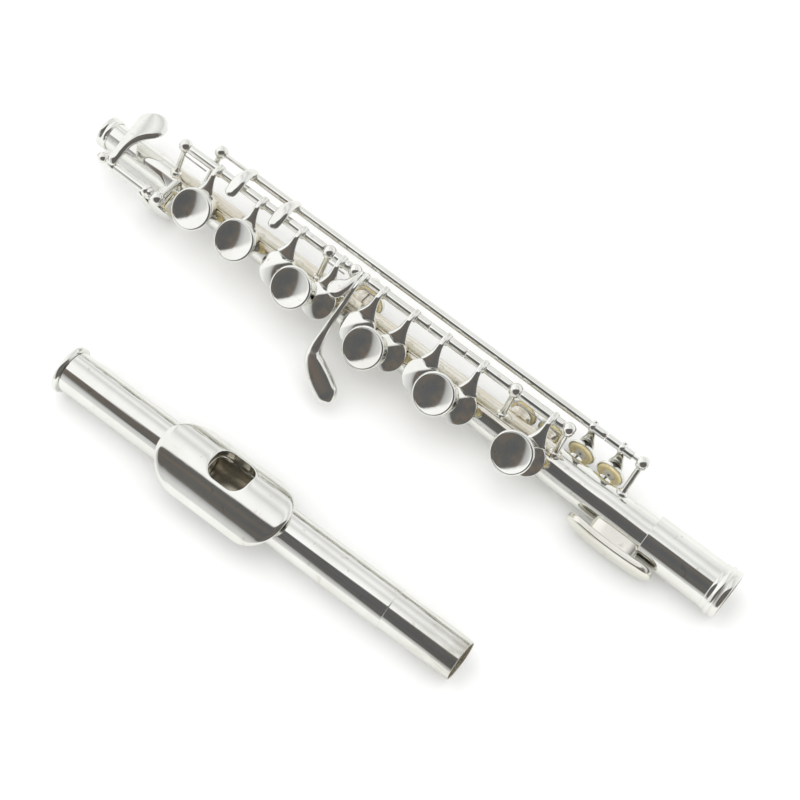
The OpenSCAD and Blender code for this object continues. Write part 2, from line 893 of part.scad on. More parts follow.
// E flat key: closed cup low on the near side, touch over the top of the foot
module key_e_flat() {
    ry = off_y(e_flat_a, e_flat_rod_a, e_flat_rod_d);
    rz = off_z(e_flat_a, e_flat_rod_a, e_flat_rod_d);
    hy = e_flat_rod_d * sin(e_flat_rod_a);
    hz = e_flat_rod_d * cos(e_flat_rod_a);
    x0 = e_flat_post_x[0] + 1.8;
    x1 = e_flat_post_x[1] - 2.4;
    color("silver")
        difference() {
            union() {
                at(e_flat_x, e_flat_a) {
                    cup(cup_r, e_flat_seat);
                    translate([-3.6, 0, 0])
                        bent_bar([[ry - 0.3, rz + 0.8], [ry - 1, e_flat_seat + 2.4],
                            [3.6, e_flat_seat + 2.1], [0.6, e_flat_seat + 2.1]], 0.9, 2.6);
                    hinge(ry, rz, x0 - e_flat_x, x1 - e_flat_x, tube_r);
                    translate([x1 - e_flat_x - 2.2, ry, rz])
                        bar_x(tube_r + collar_rise, collar_w);
                }
                at(x0 + 1.7, 0)
                    intersection() {
                        bent_bar([[hy - 0.3, hz + 0.6], [hy + 2, 10.8], [-0.5, 10.8], [11, 8.1]], 1.3, 14);
                        linear_extrude(20) {
                            spoon(hy - 1, 1.5, 0, -2.5, 1.6);
                            spoon(-2.5, 1.6, 0.3, 1.8, 2.5);
                            spoon(1.8, 2.5, 1.1, 6.2, 4.2);
                        }
                    }
            }
            at(e_flat_x, e_flat_a)
                hinge_bore(ry, rz, x0 - e_flat_x, x1 - e_flat_x, rod_r + run_gap);
        }
}
module pad_e_flat() {
    color("khaki")
        at(e_flat_x, e_flat_a)
            pad(cup_r, e_flat_seat);
}

// Thumb keys under the back of the body
module thumb_key(cx, x0, x1) {
    ry = off_y(thumb_a, thumb_rod_a, thumb_rod_d);
    rz = off_z(thumb_a, thumb_rod_a, thumb_rod_d);
    at(cx, thumb_a)
        lifted(ry, rz, thumb_open_a)
            difference() {
                union() {
                    cup(small_cup_r, seat_z);
                    arm(ry, rz, small_cup_r - 1.6, 0, thin_tube_r);
                    hinge(ry, rz, x0 - cx, x1 - cx, thin_tube_r);
                }
                hinge_bore(ry, rz, x0 - cx, x1 - cx, thin_rod_r + run_gap);
                cup_room(small_cup_r, seat_z);
            }
}
module thumb_pad(cx) {
    ry = off_y(thumb_a, thumb_rod_a, thumb_rod_d);
    rz = off_z(thumb_a, thumb_rod_a, thumb_rod_d);
    at(cx, thumb_a)
        lifted(ry, rz, thumb_open_a)
            pad(small_cup_r, seat_z);
}
module key_thumb_b() {
    color("silver")
        thumb_key(thumb_x[1], thumb_split_x + key_gap / 2, thumb_post_x[1] - thumb_off);
}
module pad_thumb_b() {
    color("khaki")
        thumb_pad(thumb_x[1]);
}
module key_thumb_b_flat() {
    color("silver")
        thumb_key(thumb_x[0], thumb_post_x[0] + thumb_off, thumb_split_x - key_gap / 2);
}
module pad_thumb_b_flat() {
    color("khaki")
        thumb_pad(thumb_x[0]);
}

// Rounded outline of the embouchure hole, grown by g
module mouth_outline(g) {
    r = 3.6 + g;
    w = mouth_l / 2 + g;
    d = mouth_w / 2 + g;
    square([2 * w, 2 * (d - r)], center = true);
    square([2 * (w - r), 2 * d], center = true);
    for (sx2 = [-1, 1])
        for (sy2 = [-1, 1])
            translate([sx2 * (w - r), sy2 * (d - r)])
                circle(r);
}

// Head tube with the tenon at its open end and the cut under the lip plate
module head_tube() {
    color("silver")
        difference() {
            on_head()
                union() {
                    bar_x(head_r, head_l - tenon_l);
                    bar_x(tenon_r, head_l);
                }
            on_head()
                translate([-1, 0, 0])
                    bar_x(head_bore, head_l + 2);
            on_head()
                translate([mouth_x, 0, 0])
                    rotate([-mouth_a, 0, 0])
                        linear_extrude(20)
                            mouth_outline(0);
        }
}

// Arc of the lip plate's cross section from angle a to angle b, its outer face in by g
function lip_arc(r, a, b, g) = [for (i = [0:28]) let (t = a + (b - a) * i / 28)
    [(r - g) * sin(t), lip_top - r + (r - g) * cos(t)]];
function lip_face(g) = concat(lip_arc(lip_r_near, -74, 0, g), lip_arc(lip_r_far, 4, 100, g));

// Curved lip plate on its riser, pierced by the embouchure hole
module lip_plate() {
    color("silver")
        on_head()
            translate([mouth_x, 0, 0])
                difference() {
                    union() {
                        intersection() {
                            translate([-30, 0, 0])
                                rotate([90, 0, 90])
                                    linear_extrude(60)
                                        polygon(concat(lip_face(0), [for (i = [57:-1:0]) lip_face(0.8)[i]]));
                            linear_extrude(30)
                                lip_outline();
                        }
                        intersection() {
                            rotate([-mouth_a, 0, 0])
                                linear_extrude(20)
                                    mouth_outline(1);
                            translate([-30, 0, 0])
                                rotate([90, 0, 90])
                                    linear_extrude(60)
                                        polygon(concat(lip_face(0.4), [[0, 0]]));
                        }
                    }
                    translate([-30, 0, 0])
                        bar_x(head_r + fit_gap, 60);
                    rotate([-mouth_a, 0, 0])
                        linear_extrude(20)
                            mouth_outline(0);
                }
}

// Outline of the lip plate seen from above
module lip_outline() {
    translate([-lip_l / 2 + lip_round, -lip_near])
        square([lip_l - 2 * lip_round, lip_near + lip_far]);
    translate([-lip_l / 2, -lip_near + lip_round])
        square([lip_l, lip_near + lip_far - 2 * lip_round]);
    for (s = [-1, 1]) {
        translate([s * (lip_l / 2 - lip_round), -lip_near + lip_round])
            circle(lip_round);
        translate([s * (lip_l / 2 - lip_round), lip_far - lip_round])
            circle(lip_round);
    }
}

// Crown with its ring, low dome and the plug that enters the tube
module crown() {
    color("silver")
        on_head()
            rotate([0, 90, 0])
                difference() {
                    rotate_extrude()
                        polygon([[0, -2.6], [3, -2.5], [5, -2.2], [6.2, -1.75], [crown_r - 0.15, -1.45],
                            [crown_r, -1.1], [crown_r, -0.45], [crown_r - 0.25, -0.1],
                            [head_r - 0.2, -0.05], [head_bore - 0.06, -0.05], [head_bore - 0.06, 4.5],
                            [0, 4.5]]);
                    translate([0, 0, 0.5])
                        cylinder(r = screw_r + fit_gap, h = 5);
                }
}

// Cork that closes the head above the embouchure hole
module stopper_cork() {
    color("tan")
        on_head()
            translate([cork_x, 0, 0])
                difference() {
                    bar_x(head_bore - 0.05, cork_l);
                    translate([-1, 0, 0])
                        bar_x(screw_r + fit_gap, 6);
                }
}

// Screw between the cork and the crown
module stopper_screw() {
    color("gray")
        on_head()
            translate([2, 0, 0])
                bar_x(screw_r, cork_x + 4.8 - 2);
}

body_tube();
barrel();
barrel_ring();
foot_ring();
hand_rest();
posts_main();
posts_trill();
posts_e_flat();
posts_thumb();
rod_main();
rod_e_flat();
rod_thumb();
springs();
key_d();
pad_d();
dish_d();
key_e();
pad_e();
dish_e();
key_f();
pad_f();
dish_f();
key_f_sharp();
pad_f_sharp();
key_g();
pad_g();
dish_g();
key_a();
pad_a();
dish_a();
key_b_flat();
pad_b_flat();
key_c();
pad_c();
dish_c();
key_g_sharp();
pad_g_sharp();
lever_b_flat();
key_trill_low();
pad_trill_low();
key_trill_high();
pad_trill_high();
key_e_flat();
pad_e_flat();
key_thumb_b();
pad_thumb_b();
key_thumb_b_flat();
pad_thumb_b_flat();
head_tube();
lip_plate();
crown();
stopper_cork();
stopper_screw();
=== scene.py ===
import json
import math

import bmesh
import bpy
from mathutils import Matrix, Vector


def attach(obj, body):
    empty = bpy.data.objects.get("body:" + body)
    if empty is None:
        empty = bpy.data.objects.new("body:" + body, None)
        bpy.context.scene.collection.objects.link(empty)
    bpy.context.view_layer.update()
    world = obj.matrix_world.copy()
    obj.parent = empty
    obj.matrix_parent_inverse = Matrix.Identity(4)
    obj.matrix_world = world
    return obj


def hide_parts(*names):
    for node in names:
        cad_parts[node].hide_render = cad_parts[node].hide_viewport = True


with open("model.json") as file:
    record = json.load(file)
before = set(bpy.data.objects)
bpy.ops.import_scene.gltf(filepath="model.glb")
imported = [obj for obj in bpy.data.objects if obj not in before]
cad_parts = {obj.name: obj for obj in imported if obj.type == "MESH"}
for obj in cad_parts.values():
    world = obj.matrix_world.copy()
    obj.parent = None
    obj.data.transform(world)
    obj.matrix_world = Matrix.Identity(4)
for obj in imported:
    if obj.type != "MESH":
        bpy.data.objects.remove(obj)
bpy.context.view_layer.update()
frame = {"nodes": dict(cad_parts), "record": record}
nodes = frame["nodes"]
scene = bpy.context.scene
scene.view_settings.view_transform = "Standard"

# Sizes of the part that the pieces made here share with it, in mm
MM = 0.001
mounts = {m["name"]: m for m in frame["record"]["mounts"]}
X_MID, AXIS_Y, AXIS_H = [v / MM for v in mounts["barrel_socket"]["pos_m"]]
HEAD_END = Vector(mounts["head_tenon"]["pos_m"]) / MM
HEAD_DIR = Vector(mounts["head_tenon"]["axis"])
HEAD_L, TENON_L = 130.0, 22.0
HEAD_FOOT = HEAD_END - HEAD_DIR * HEAD_L
CORK_END, HEAD_BORE = 45.8, 5.4
TUBE_FOOT_R, TUBE_TOP_R, TUBE_L = 4.1, 5.45, 194.0
# Angles of a tone hole and of its rod about the body, the rod's distance, and how far the key stands open
HOLE_A, ROD_A, ROD_D, OPEN_A = -37.0, 28.5, 13.2, 8.0
TRILL_A, TRILL_ROD_A, TRILL_ROD_D, TRILL_OPEN_A = 110.0, 48.4, 15.4, 10.0
THUMB_A, THUMB_ROD_A, THUMB_ROD_D, THUMB_OPEN_A = 102.0, 150.0, 6.95, 5.0
E_FLAT_A, E_FLAT_ROD_A, E_FLAT_ROD_D = -98.0, -55.9, 11.2
G_SHARP_A = 105.5
# Heights of the pad faces over the axis, and sizes of pads and cups
SEAT, TRILL_SEAT, E_FLAT_SEAT, PAD_T = 6.6, 6.0, 8.0, 1.5
CUP_R, SMALL_CUP_R, SKIRT = 5.1, 4.2, 0.45
# Stations of the tone holes along the body
FINGER_X = {"d": [39.8], "e": [55.4], "f": [69.2], "f_sharp": [83.8], "g": [97.4, 108.0],
            "a": [119.1], "b_flat": [131.8], "c": [154.4]}
TRILL_X = {"trill_low": 163.0, "trill_high": 172.4}
THUMB_X = {"thumb_b": 153.6, "thumb_b_flat": 144.4}
E_FLAT_X, G_SHARP_X = 27.2, 90.9


def at(x, a):
    """Frame at a station of the body, Z pointing out from the axis at angle a from straight up."""
    return (Matrix.Diagonal((MM, MM, MM, 1))
            @ Matrix.Translation((x - X_MID, AXIS_Y, AXIS_H))
            @ Matrix.Rotation(math.radians(-a), 4, "X"))


def rod_place(a, rod_a, rod_d):
    """Y and Z of a rod in a frame at angle a."""
    return rod_d * math.sin(math.radians(rod_a - a)), rod_d * math.cos(math.radians(rod_a - a))


def lifted(a, rod_a, rod_d, lift):
    """Turn of an open key about its rod, in the frame of its tone hole."""
    ry, rz = rod_place(a, rod_a, rod_d)
    return (Matrix.Translation((0, ry, rz))
            @ Matrix.Rotation(math.radians(-math.copysign(lift, ry)), 4, "X")
            @ Matrix.Translation((0, -ry, -rz)))


def make_camera():
    """Camera at the photo's place."""
    az, el, dist = math.radians(39.33), math.radians(67.91), 455.5
    target = Vector((9.0, AXIS_Y - 11.2, AXIS_H))
    back = Vector((math.cos(el) * math.sin(az), -math.cos(el) * math.cos(az), math.sin(el)))
    right = Vector((math.cos(az), math.sin(az), 0))
    up = back.cross(right)
    place = (target + back * dist) * MM
    cam = bpy.data.cameras.new("camera")
    cam.sensor_width = 36
    cam.lens = 1707 / 800 * 36
    cam.clip_start, cam.clip_end = 0.01, 20
    o = bpy.data.objects.new("camera", cam)
    scene.collection.objects.link(o)
    o.matrix_world = Matrix((
        (right.x, up.x, back.x, place.x), (right.y, up.y, back.y, place.y),
        (right.z, up.z, back.z, place.z), (0, 0, 0, 1)))
    scene.camera = o


# Small helpers for node trees
def tree(mat):
    mat.use_nodes = True
    nt = mat.node_tree
    nt.nodes.clear()
    return nt


def add(nt, kind, **values):
    n = nt.nodes.new(kind)
    for k, v in values.items():
        setattr(n, k, v)
    return n


def ramp(nt, src, stops):
    """Colour by the value, from (position, colour) stops."""
    r = nt.nodes.new("ShaderNodeValToRGB")
    r.color_ramp.interpolation = "LINEAR"
    e = r.color_ramp.elements
    while len(e) > 1:
        e.remove(e[-1])
    e[0].position, e[0].color = stops[0][0], (*stops[0][1], 1)
    for p, c in stops[1:]:
        k = e.new(p)
        k.color = (*c, 1)
    nt.links.new(src, r.inputs[0])
    return r.outputs[0]


def noise(nt, vec, scale, detail=3.0, rough=0.5, stretch=(1, 1, 1)):
    """Noise value at a point, drawn out along an axis where stretch is small."""
    m = add(nt, "ShaderNodeMapping")
    m.inputs["Scale"].default_value = stretch
    nt.links.new(vec, m.inputs[0])
    n = add(nt, "ShaderNodeTexNoise")
    n.inputs["Scale"].default_value = scale
    n.inputs["Detail"].default_value = detail
    n.inputs["Roughness"].default_value = rough
    nt.links.new(m.outputs[0], n.inputs["Vector"])
    return n.outputs[0]


def vmath(nt, op, a, b):
    """Vector math on a socket and a fixed vector; gives the vector and the value output."""
    d = add(nt, "ShaderNodeVectorMath", operation=op)
    nt.links.new(a, d.inputs[0])
    if b is not None:
        d.inputs[1].default_value = b
    return d.outputs[0], d.outputs[1]


def math_node(nt, op, a, b, c=None):
    """Math on sockets or plain numbers."""
    m = add(nt, "ShaderNodeMath", operation=op)
    for i, v in enumerate((a, b, c)):
        if v is None:
            continue
        if isinstance(v, (int, float)):
            m.inputs[i].default_value = v
        else:
            nt.links.new(v, m.inputs[i])
    return m.outputs[0]


def step(nt, src, low, high):
    """0 to 1 as the value goes smoothly from low to high."""
    m = add(nt, "ShaderNodeMapRange")
    m.interpolation_type = "SMOOTHSTEP"
    nt.links.new(src, m.inputs["Value"])
    m.inputs["From Min"].default_value = low
    m.inputs["From Max"].default_value = high
    return m.outputs[0]


def blend(nt, fac, a, b):
    """Mix of two colours, each a socket or a plain triple."""
    m = add(nt, "ShaderNodeMix", data_type="RGBA")
    nt.links.new(fac, m.inputs["Factor"])
    for key, v in (("A", a), ("B", b)):
        if isinstance(v, tuple):
            m.inputs[key].default_value = (*v, 1)
        else:
            nt.links.new(v, m.inputs[key])
    return m.outputs["Result"]


def start_material(name):
    """New material: itself, its tree, its shader and the object's coordinates."""
    mat = bpy.data.materials.new(name)
    nt = tree(mat)
    out = add(nt, "ShaderNodeOutputMaterial")
    p = add(nt, "ShaderNodeBsdfPrincipled")
    nt.links.new(p.outputs[0], out.inputs[0])
    return mat, nt, p, add(nt, "ShaderNodeTexCoord").outputs["Object"]


def add_bump(nt, p, height, strength, distance):
    b = add(nt, "ShaderNodeBump")
    b.inputs["Strength"].default_value = strength
    b.inputs["Distance"].default_value = distance
    nt.links.new(height, b.inputs["Height"])
    nt.links.new(b.outputs[0], p.inputs["Normal"])


SPOT, STAIN, TAN, BORE = (0.62, 0.56, 0.47), (0.50, 0.48, 0.40), (0.60, 0.53, 0.40), (0.56, 0.52, 0.43)


def silver(name, light, dark, rough=(0.05, 0.11), stretch=(0.25, 1, 1), bump=0.02,
           inside=None, dull=None, warm=None, metal=1.0):
    """Polished silver plate: faint tarnish clouds, hairline scratches and small dull spots.

    inside is (point, direction, radius, rise): nearer the axis than that the wall is brown and matt.
    dull is (point, direction, start, end): from start to end the plate gets more stained.
    warm is (point, start, end, low, high): tan streaks along X between two stations,
    and between two angles from straight up.
    """
    mat, nt, p, vec = start_material(name)
    cloud = noise(nt, vec, 90, 4, 0.55)
    base = ramp(nt, cloud, [(0.35, light), (0.72, dark)])
    spots = step(nt, noise(nt, vec, 420, 2, 0.5), 0.66, 0.74)
    base = blend(nt, math_node(nt, "MULTIPLY", spots, 0.35), base, SPOT)
    hair = noise(nt, vec, 2600, 2, 0.6, stretch)
    g = ramp(nt, hair, [(0.3, (rough[0],) * 3), (0.75, (rough[1],) * 3)])
    if dull:
        v = vmath(nt, "SUBTRACT", vec, dull[0])[0]
        along = vmath(nt, "DOT_PRODUCT", v, dull[1])[1]
        worn = step(nt, along, dull[2], dull[3])
        rub = noise(nt, vec, 260, 5, 0.65, (0.3, 1, 1))
        rub = ramp(nt, rub, [(0.36, (0.0,) * 3), (0.66, (1.0,) * 3)])
        worn = math_node(nt, "MULTIPLY", worn, rub)
        base = blend(nt, worn, base, STAIN)
        g = math_node(nt, "MULTIPLY_ADD", worn, 0.16, g)
    if warm:
        point, start, end, low, high = warm
        fade, fade_turn = 0.006, 0.2
        v = vmath(nt, "SUBTRACT", vec, point)[0]
        along, y, z = [vmath(nt, "DOT_PRODUCT", v, d)[1] for d in ((1, 0, 0), (0, 1, 0), (0, 0, 1))]
        turn = math_node(nt, "ARCTAN2", y, z)
        here = math_node(nt, "MULTIPLY", step(nt, along, start, start + fade), step(nt, along, end, end - fade))
        side = math_node(nt, "MULTIPLY", step(nt, turn, low, low + fade_turn), step(nt, turn, high, high - fade_turn))
        streak = noise(nt, vec, 1500, 3, 0.6, (0.03, 1, 1))
        streak = ramp(nt, streak, [(0.34, (0.15,) * 3), (0.52, (0.62,) * 3), (0.7, (1.0,) * 3)])
        here = math_node(nt, "MULTIPLY", math_node(nt, "MULTIPLY", here, side), streak)
        base = blend(nt, here, base, TAN)
        g = math_node(nt, "MULTIPLY_ADD", here, 0.12, g)
    if inside:
        v = vmath(nt, "SUBTRACT", vec, inside[0])[0]
        along = vmath(nt, "DOT_PRODUCT", v, inside[1])[1]
        across = vmath(nt, "LENGTH", vmath(nt, "CROSS_PRODUCT", v, inside[1])[0], None)[1]
        near = math_node(nt, "SUBTRACT", across, math_node(nt, "MULTIPLY_ADD", along, inside[3], inside[2]))
        deep = step(nt, near, 0.00008, -0.00008)
        base = blend(nt, deep, base, BORE)
        g = math_node(nt, "MULTIPLY_ADD", deep, 0.14, g)
        metal = math_node(nt, "MULTIPLY_ADD", deep, -0.2, metal)
        nt.links.new(metal, p.inputs["Metallic"])
    else:
        p.inputs["Metallic"].default_value = metal
    nt.links.new(base, p.inputs["Base Color"])
    nt.links.new(g, p.inputs["Roughness"])
    add_bump(nt, p, hair, bump, 0.00002)
    return mat


def soft_skin(name):
    """Yellow pad skin: cloudy colour, fine wrinkles, a soft sheen."""
    mat, nt, p, vec = start_material(name)
    cloud = noise(nt, vec, 500, 4, 0.6)
    colour = ramp(nt, cloud, [(0.3, (0.95, 0.86, 0.56)), (0.5, (0.92, 0.80, 0.47)), (0.75, (0.80, 0.63, 0.32))])
    nt.links.new(colour, p.inputs["Base Color"])
    p.inputs["Roughness"].default_value = 0.42
    p.inputs["Subsurface Weight"].default_value = 0.15
    p.inputs["Subsurface Radius"].default_value = (0.0006, 0.0004, 0.0002)
    add_bump(nt, p, noise(nt, vec, 1800, 3, 0.6), 0.25, 0.00005)
    return mat


def cork_grain(name):
    """Cork: warm brown with dark pores."""
    mat, nt, p, vec = start_material(name)
    grain = noise(nt, vec, 900, 5, 0.65)
    colour = ramp(nt, grain, [(0.32, (0.16, 0.09, 0.05)), (0.45, (0.48, 0.30, 0.16)), (0.7, (0.60, 0.40, 0.23))])
    nt.links.new(colour, p.inputs["Base Color"])
    p.inputs["Roughness"].default_value = 0.85
    add_bump(nt, p, grain, 0.5, 0.0001)
    return mat


def dress(node, mat, bevel=0.15, segments=3):
    """Gives a CAD node its material, rounded edges and smooth shading."""
    o = nodes[node]
    o.data.materials.clear()
    o.data.materials.append(mat)
    for f in o.data.polygons:
        f.use_smooth = True
    w = o.modifiers.new("weld", "WELD")
    w.merge_threshold = 0.000002
    if bevel:
        b = o.modifiers.new("round", "BEVEL")
        b.limit_method = "ANGLE"
        b.angle_limit = math.radians(38)
        b.width = bevel * MM
        b.segments = segments
    n = o.modifiers.new("normals", "WEIGHTED_NORMAL")
    n.keep_sharp = True


def lathe(place, rings, sides=48):
    """Turned shape: a frame and its (radius, height, material) rings."""
    verts, faces, looks = [], [], []
    for r, z, _ in rings:
        for k in range(sides):
            t = 2 * math.pi * k / sides
            verts.append(place @ Vector((r * math.cos(t), r * math.sin(t), z)))
    for i in range(len(rings) - 1):
        for k in range(sides):
            a, b = i * sides + k, i * sides + (k + 1) % sides
            faces.append((a, a + sides, b + sides, b))
            looks.append(rings[i][2])
    faces.append(tuple(range(sides)))
    last = (len(rings) - 1) * sides
    faces.append(tuple(last + k for k in reversed(range(sides))))
    looks += [rings[0][2], rings[-1][2]]
    return verts, faces, looks


def ribbon(place, stations, side=(1, 0, 0), camber=0.3, edge=0.75, start=False, end=True, drop=0.5):
    """Smooth bar with rounded edges along stations of (point, half width, half thickness).

    side is the direction of its width, or a function that gives it from the way along the bar.
    camber is how far its middle stands above its edges, edge the width of the slope along
    them and drop how steep it is. start and end tell which ends are round in plan.
    """
    per = 6
    pts = [Vector(q[0]) for q in stations]
    wide, thick = [q[1] for q in stations], [q[2] for q in stations]

    def cubic(v0, v1, v2, v3, t):
        return 0.5 * (2 * v1 + (v2 - v0) * t + (2 * v0 - 5 * v1 + 4 * v2 - v3) * t * t
                      + (3 * v1 - v0 - 3 * v2 + v3) * t ** 3)

    rows = []
    for i in range(len(pts) - 1):
        j = [max(0, i - 1), i, i + 1, min(len(pts) - 1, i + 2)]
        for k in range(per):
            t = k / per
            rows.append([cubic(*[v[m] for m in j], t) for v in (pts, wide, thick)])
    rows.append([pts[-1], wide[-1], thick[-1]])

    def cap(row, other):
        way = (row[0] - other[0]).normalized()
        turns = [math.radians(d) for d in (12, 24, 36, 47, 57, 66, 74, 81, 87)]
        return [[row[0] + way * row[1] * math.sin(f), row[1] * math.cos(f), row[2] * (0.45 + 0.55 * math.cos(f))]
                for f in turns]

    if end:
        rows += cap(rows[-1], rows[-2])
    if start:
        rows = cap(rows[0], rows[1])[::-1] + rows
    verts, faces, axes = [], [], []
    for i in range(len(rows)):
        way = rows[min(i + 1, len(rows) - 1)][0] - rows[max(i - 1, 0)][0]
        if callable(side):
            s = side(way)
        else:
            s = Vector(side)
        s = (s - way * (s.dot(way) / max(way.length_squared, 1e-12))).normalized()
        axes.append((s, s.cross(way).normalized()))
    # the cambered face looks outward, whichever way the bar runs
    over = math.copysign(1.0, sum(up.z for s, up in axes))
    for (c, w, h), (s, up) in zip(rows, axes):
        up = up * over
        lift = camber * min(1.0, w / max(wide))
        e = min(edge, 0.62 * w)
        fall = min(drop * e, 1.1 * h)
        half = [(w, -0.55 * h), (w, h - fall - 0.25 * h)]
        half += [(w - e * d, h - fall * (1 - d) ** 1.7) for d in (0.06, 0.2, 0.38, 0.58, 0.8, 1.0)]
        half += [((w - e) * 0.5, h)]
        ring = half + [(-u, v) for u, v in reversed(half)] + [(-w * 0.92, -h), (0, -h), (w * 0.92, -h)]
        for u, v in ring:
            verts.append(place @ (c + s * u + up * (v + lift * (1 - (u / max(w, 1e-6)) ** 2))))
    around = len(ring)
    for i in range(len(rows) - 1):
        for k in range(around):
            a, b = i * around + k, i * around + (k + 1) % around
            faces.append((a, b, b + around, a + around))
    faces.append(tuple(reversed(range(around))))
    last = (len(rows) - 1) * around
    faces.append(tuple(last + k for k in range(around)))
    return verts, faces, [0] * len(faces)


def piece(name, shapes, mats, smooth=True):
    """One object out of several shapes, with its faces turned outward; smooth adds a subdivision."""
    verts, faces, looks = [], [], []
    for v, f, k in shapes:
        n = len(verts)
        verts += [tuple(q) for q in v]
        faces += [tuple(i + n for i in q) for q in f]
        looks += k
    me = bpy.data.meshes.new(name)
    me.from_pydata(verts, [], faces)
    for m in mats:
        me.materials.append(m)
    for f, look in zip(me.polygons, looks):
        f.use_smooth = len(f.vertices) == 4
        f.material_index = look
    bm = bmesh.new()
    bm.from_mesh(me)
    bmesh.ops.recalc_face_normals(bm, faces=bm.faces)
    bm.to_mesh(me)
    bm.free()
    o = bpy.data.objects.new(name, me)
    scene.collection.objects.link(o)
    if smooth:
        d = o.modifiers.new("smooth", "SUBSURF")
        d.levels = d.render_levels = 1
    return o


def turned(name, profiles, mats):
    """Object out of turned shapes, from (frame, rings) pairs."""
    return piece(name, [lathe(place, rings) for place, rings in profiles], mats, False)


make_camera()

# Materials
BODY_FOOT = (-X_MID * MM, AXIS_Y * MM, AXIS_H * MM)
HEAD_LINE = (tuple(HEAD_FOOT * MM), tuple(HEAD_DIR))
TUBE_RISE = (TUBE_TOP_R - TUBE_FOOT_R) / TUBE_L
SILVER, TARNISH = (0.9, 0.905, 0.875), (0.82, 0.815, 0.775)
DRAWN = (0.05, 1, 1)
plate = silver("silver_plate", SILVER, TARNISH)
body_plate = silver("body_plate", SILVER, TARNISH, stretch=DRAWN,
                    inside=(BODY_FOOT, (1, 0, 0), 0.00385, TUBE_RISE), warm=(BODY_FOOT, 0.028, 0.16, -0.55, 1.5))
head_plate = silver("head_plate", SILVER, TARNISH, stretch=DRAWN, inside=(*HEAD_LINE, 0.0056, 0.0),
                    dull=(*HEAD_LINE, (HEAD_L - TENON_L) * MM, (HEAD_L + 4) * MM))
barrel_plate = silver("barrel_plate", SILVER, TARNISH, stretch=DRAWN, inside=(BODY_FOOT, (1, 0, 0), 0.0061, 0.0))
warm_plate = silver("warm_plate", (0.86, 0.84, 0.77), (0.74, 0.68, 0.56), (0.07, 0.16), DRAWN)
dull_plate = silver("dull_plate", (0.93, 0.92, 0.87), (0.86, 0.84, 0.76), (0.2, 0.24), bump=0.005)
steel = silver("ground_steel", (0.72, 0.71, 0.69), (0.6, 0.59, 0.57), (0.15, 0.26))
# washers: their polished silver is given as a pale, nearly non-metal colour, a painted reflection of the white floor
washer_painted_reflection = silver("washer_painted_reflection", (0.95, 0.92, 0.84), (0.9, 0.85, 0.74), (0.4, 0.55), metal=0.05)
dark_steel = silver("blued_steel", (0.30, 0.29, 0.27), (0.18, 0.17, 0.16), (0.2, 0.32))
skin = soft_skin("pad_skin")
cork = cork_grain("cork")

# Nodes that keep the mesh of the part, with their looks and the width of their rounded edges
LOOK = {"body_tube": body_plate, "head_tube": head_plate, "barrel": barrel_plate, "stopper_cork": cork}
STEEL = ("springs", "rod_main", "rod_e_flat", "rod_thumb", "stopper_screw")
EDGE, PLAIN_EDGE = {"body_tube": 0.12, "crown": 0.2}, 0.16
REPLACED = ("key_d", "key_e", "key_f", "key_f_sharp", "key_g", "key_a", "key_b_flat", "key_c",
            "key_trill_low", "key_trill_high", "key_e_flat", "key_g_sharp", "lever_b_flat",
            "lip_plate", "hand_rest", "dish_d", "dish_e", "dish_f", "dish_g", "dish_a", "dish_c")
for n in nodes:
    if n.startswith("pad_") or n in REPLACED:
        continue
    dress(n, LOOK.get(n, steel if n in STEEL else plate), EDGE.get(n, PLAIN_EDGE), 4 if n in EDGE else 3)


# Keys of smooth metal: cup, arm, hinge tube with its rings, touch
ALONG_X = Matrix.Rotation(math.radians(90), 4, "Y")
TUBE_R, TRILL_TUBE_R, INNER_ROD_R, ROD_SIDES = 1.35, 1.25, 0.6, 36
# By key: the stations of its hinge tube, the dish's place beside its cup, the arm's shift along the rod
FINGER_TUBE = {"d": (28.1, 46.4), "e": (46.7, 61.6), "f": (61.9, 76.4), "f_sharp": (80.0, 85.4),
               "g": (92.0, 112.8), "a": (113.1, 125.0), "b_flat": (125.3, 139.8), "c": (143.4, 157.1)}
DISH = {"d": (0.2, -0.3), "e": (0.0, 0.0), "f": (7.1, -1.1), "g": (5.0, -2.4), "a": (6.2, -0.8), "c": (-3.3, -0.8)}
ARM_SHIFT = {"d": -0.8, "e": -0.6, "f": -0.2, "f_sharp": -0.9, "g": 0, "a": -0.3, "b_flat": -0.7, "c": -0.3}


def cup(place, r, seat):
    """Pad cup with a domed top, open toward the pad."""
    rings = [(0.02, 1.52), (r - 0.36, 1.52), (r - 0.36, 0.62), (r - 0.26, 0.56), (r - 0.08, 0.56),
             (r, 0.66), (r, 1.35), (r - 0.03, 1.48), (r - 0.1, 1.58)]
    rings += [((r - 0.2) * f, 2.6 - 0.96 * f * f) for f in (1.0, 0.92, 0.82, 0.7, 0.56, 0.42, 0.28, 0.14)]
    return lathe(place, [(a, seat + z, 0) for a, z in rings + [(0.02, 2.6)]])


def tube(place, r, length):
    """Hinge tube along X from the frame's origin, with soft ends."""
    rings = [(0.5 * r, 0, 0), (r - 0.12, 0, 0), (r - 0.03, 0.04, 0), (r, 0.14, 0), (r, length / 2, 0),
             (r, length - 0.14, 0), (r - 0.03, length - 0.04, 0), (r - 0.12, length, 0), (0.5 * r, length, 0)]
    return lathe(place @ ALONG_X, rings, ROD_SIDES)


def bead(place, r, w, rise=0.42):
    """Rounded ring on a hinge tube, its middle at the frame's origin."""
    rings = [(r - 0.1, -w / 2, 0)]
    rings += [(r + rise * math.cos(math.radians(d)) ** 0.7, w / 2 * math.sin(math.radians(d)), 0)
              for d in (-86, -70, -52, -34, -16, 0, 16, 34, 52, 70, 86)]
    return lathe(place @ ALONG_X, rings + [(r - 0.1, w / 2, 0)], ROD_SIDES)


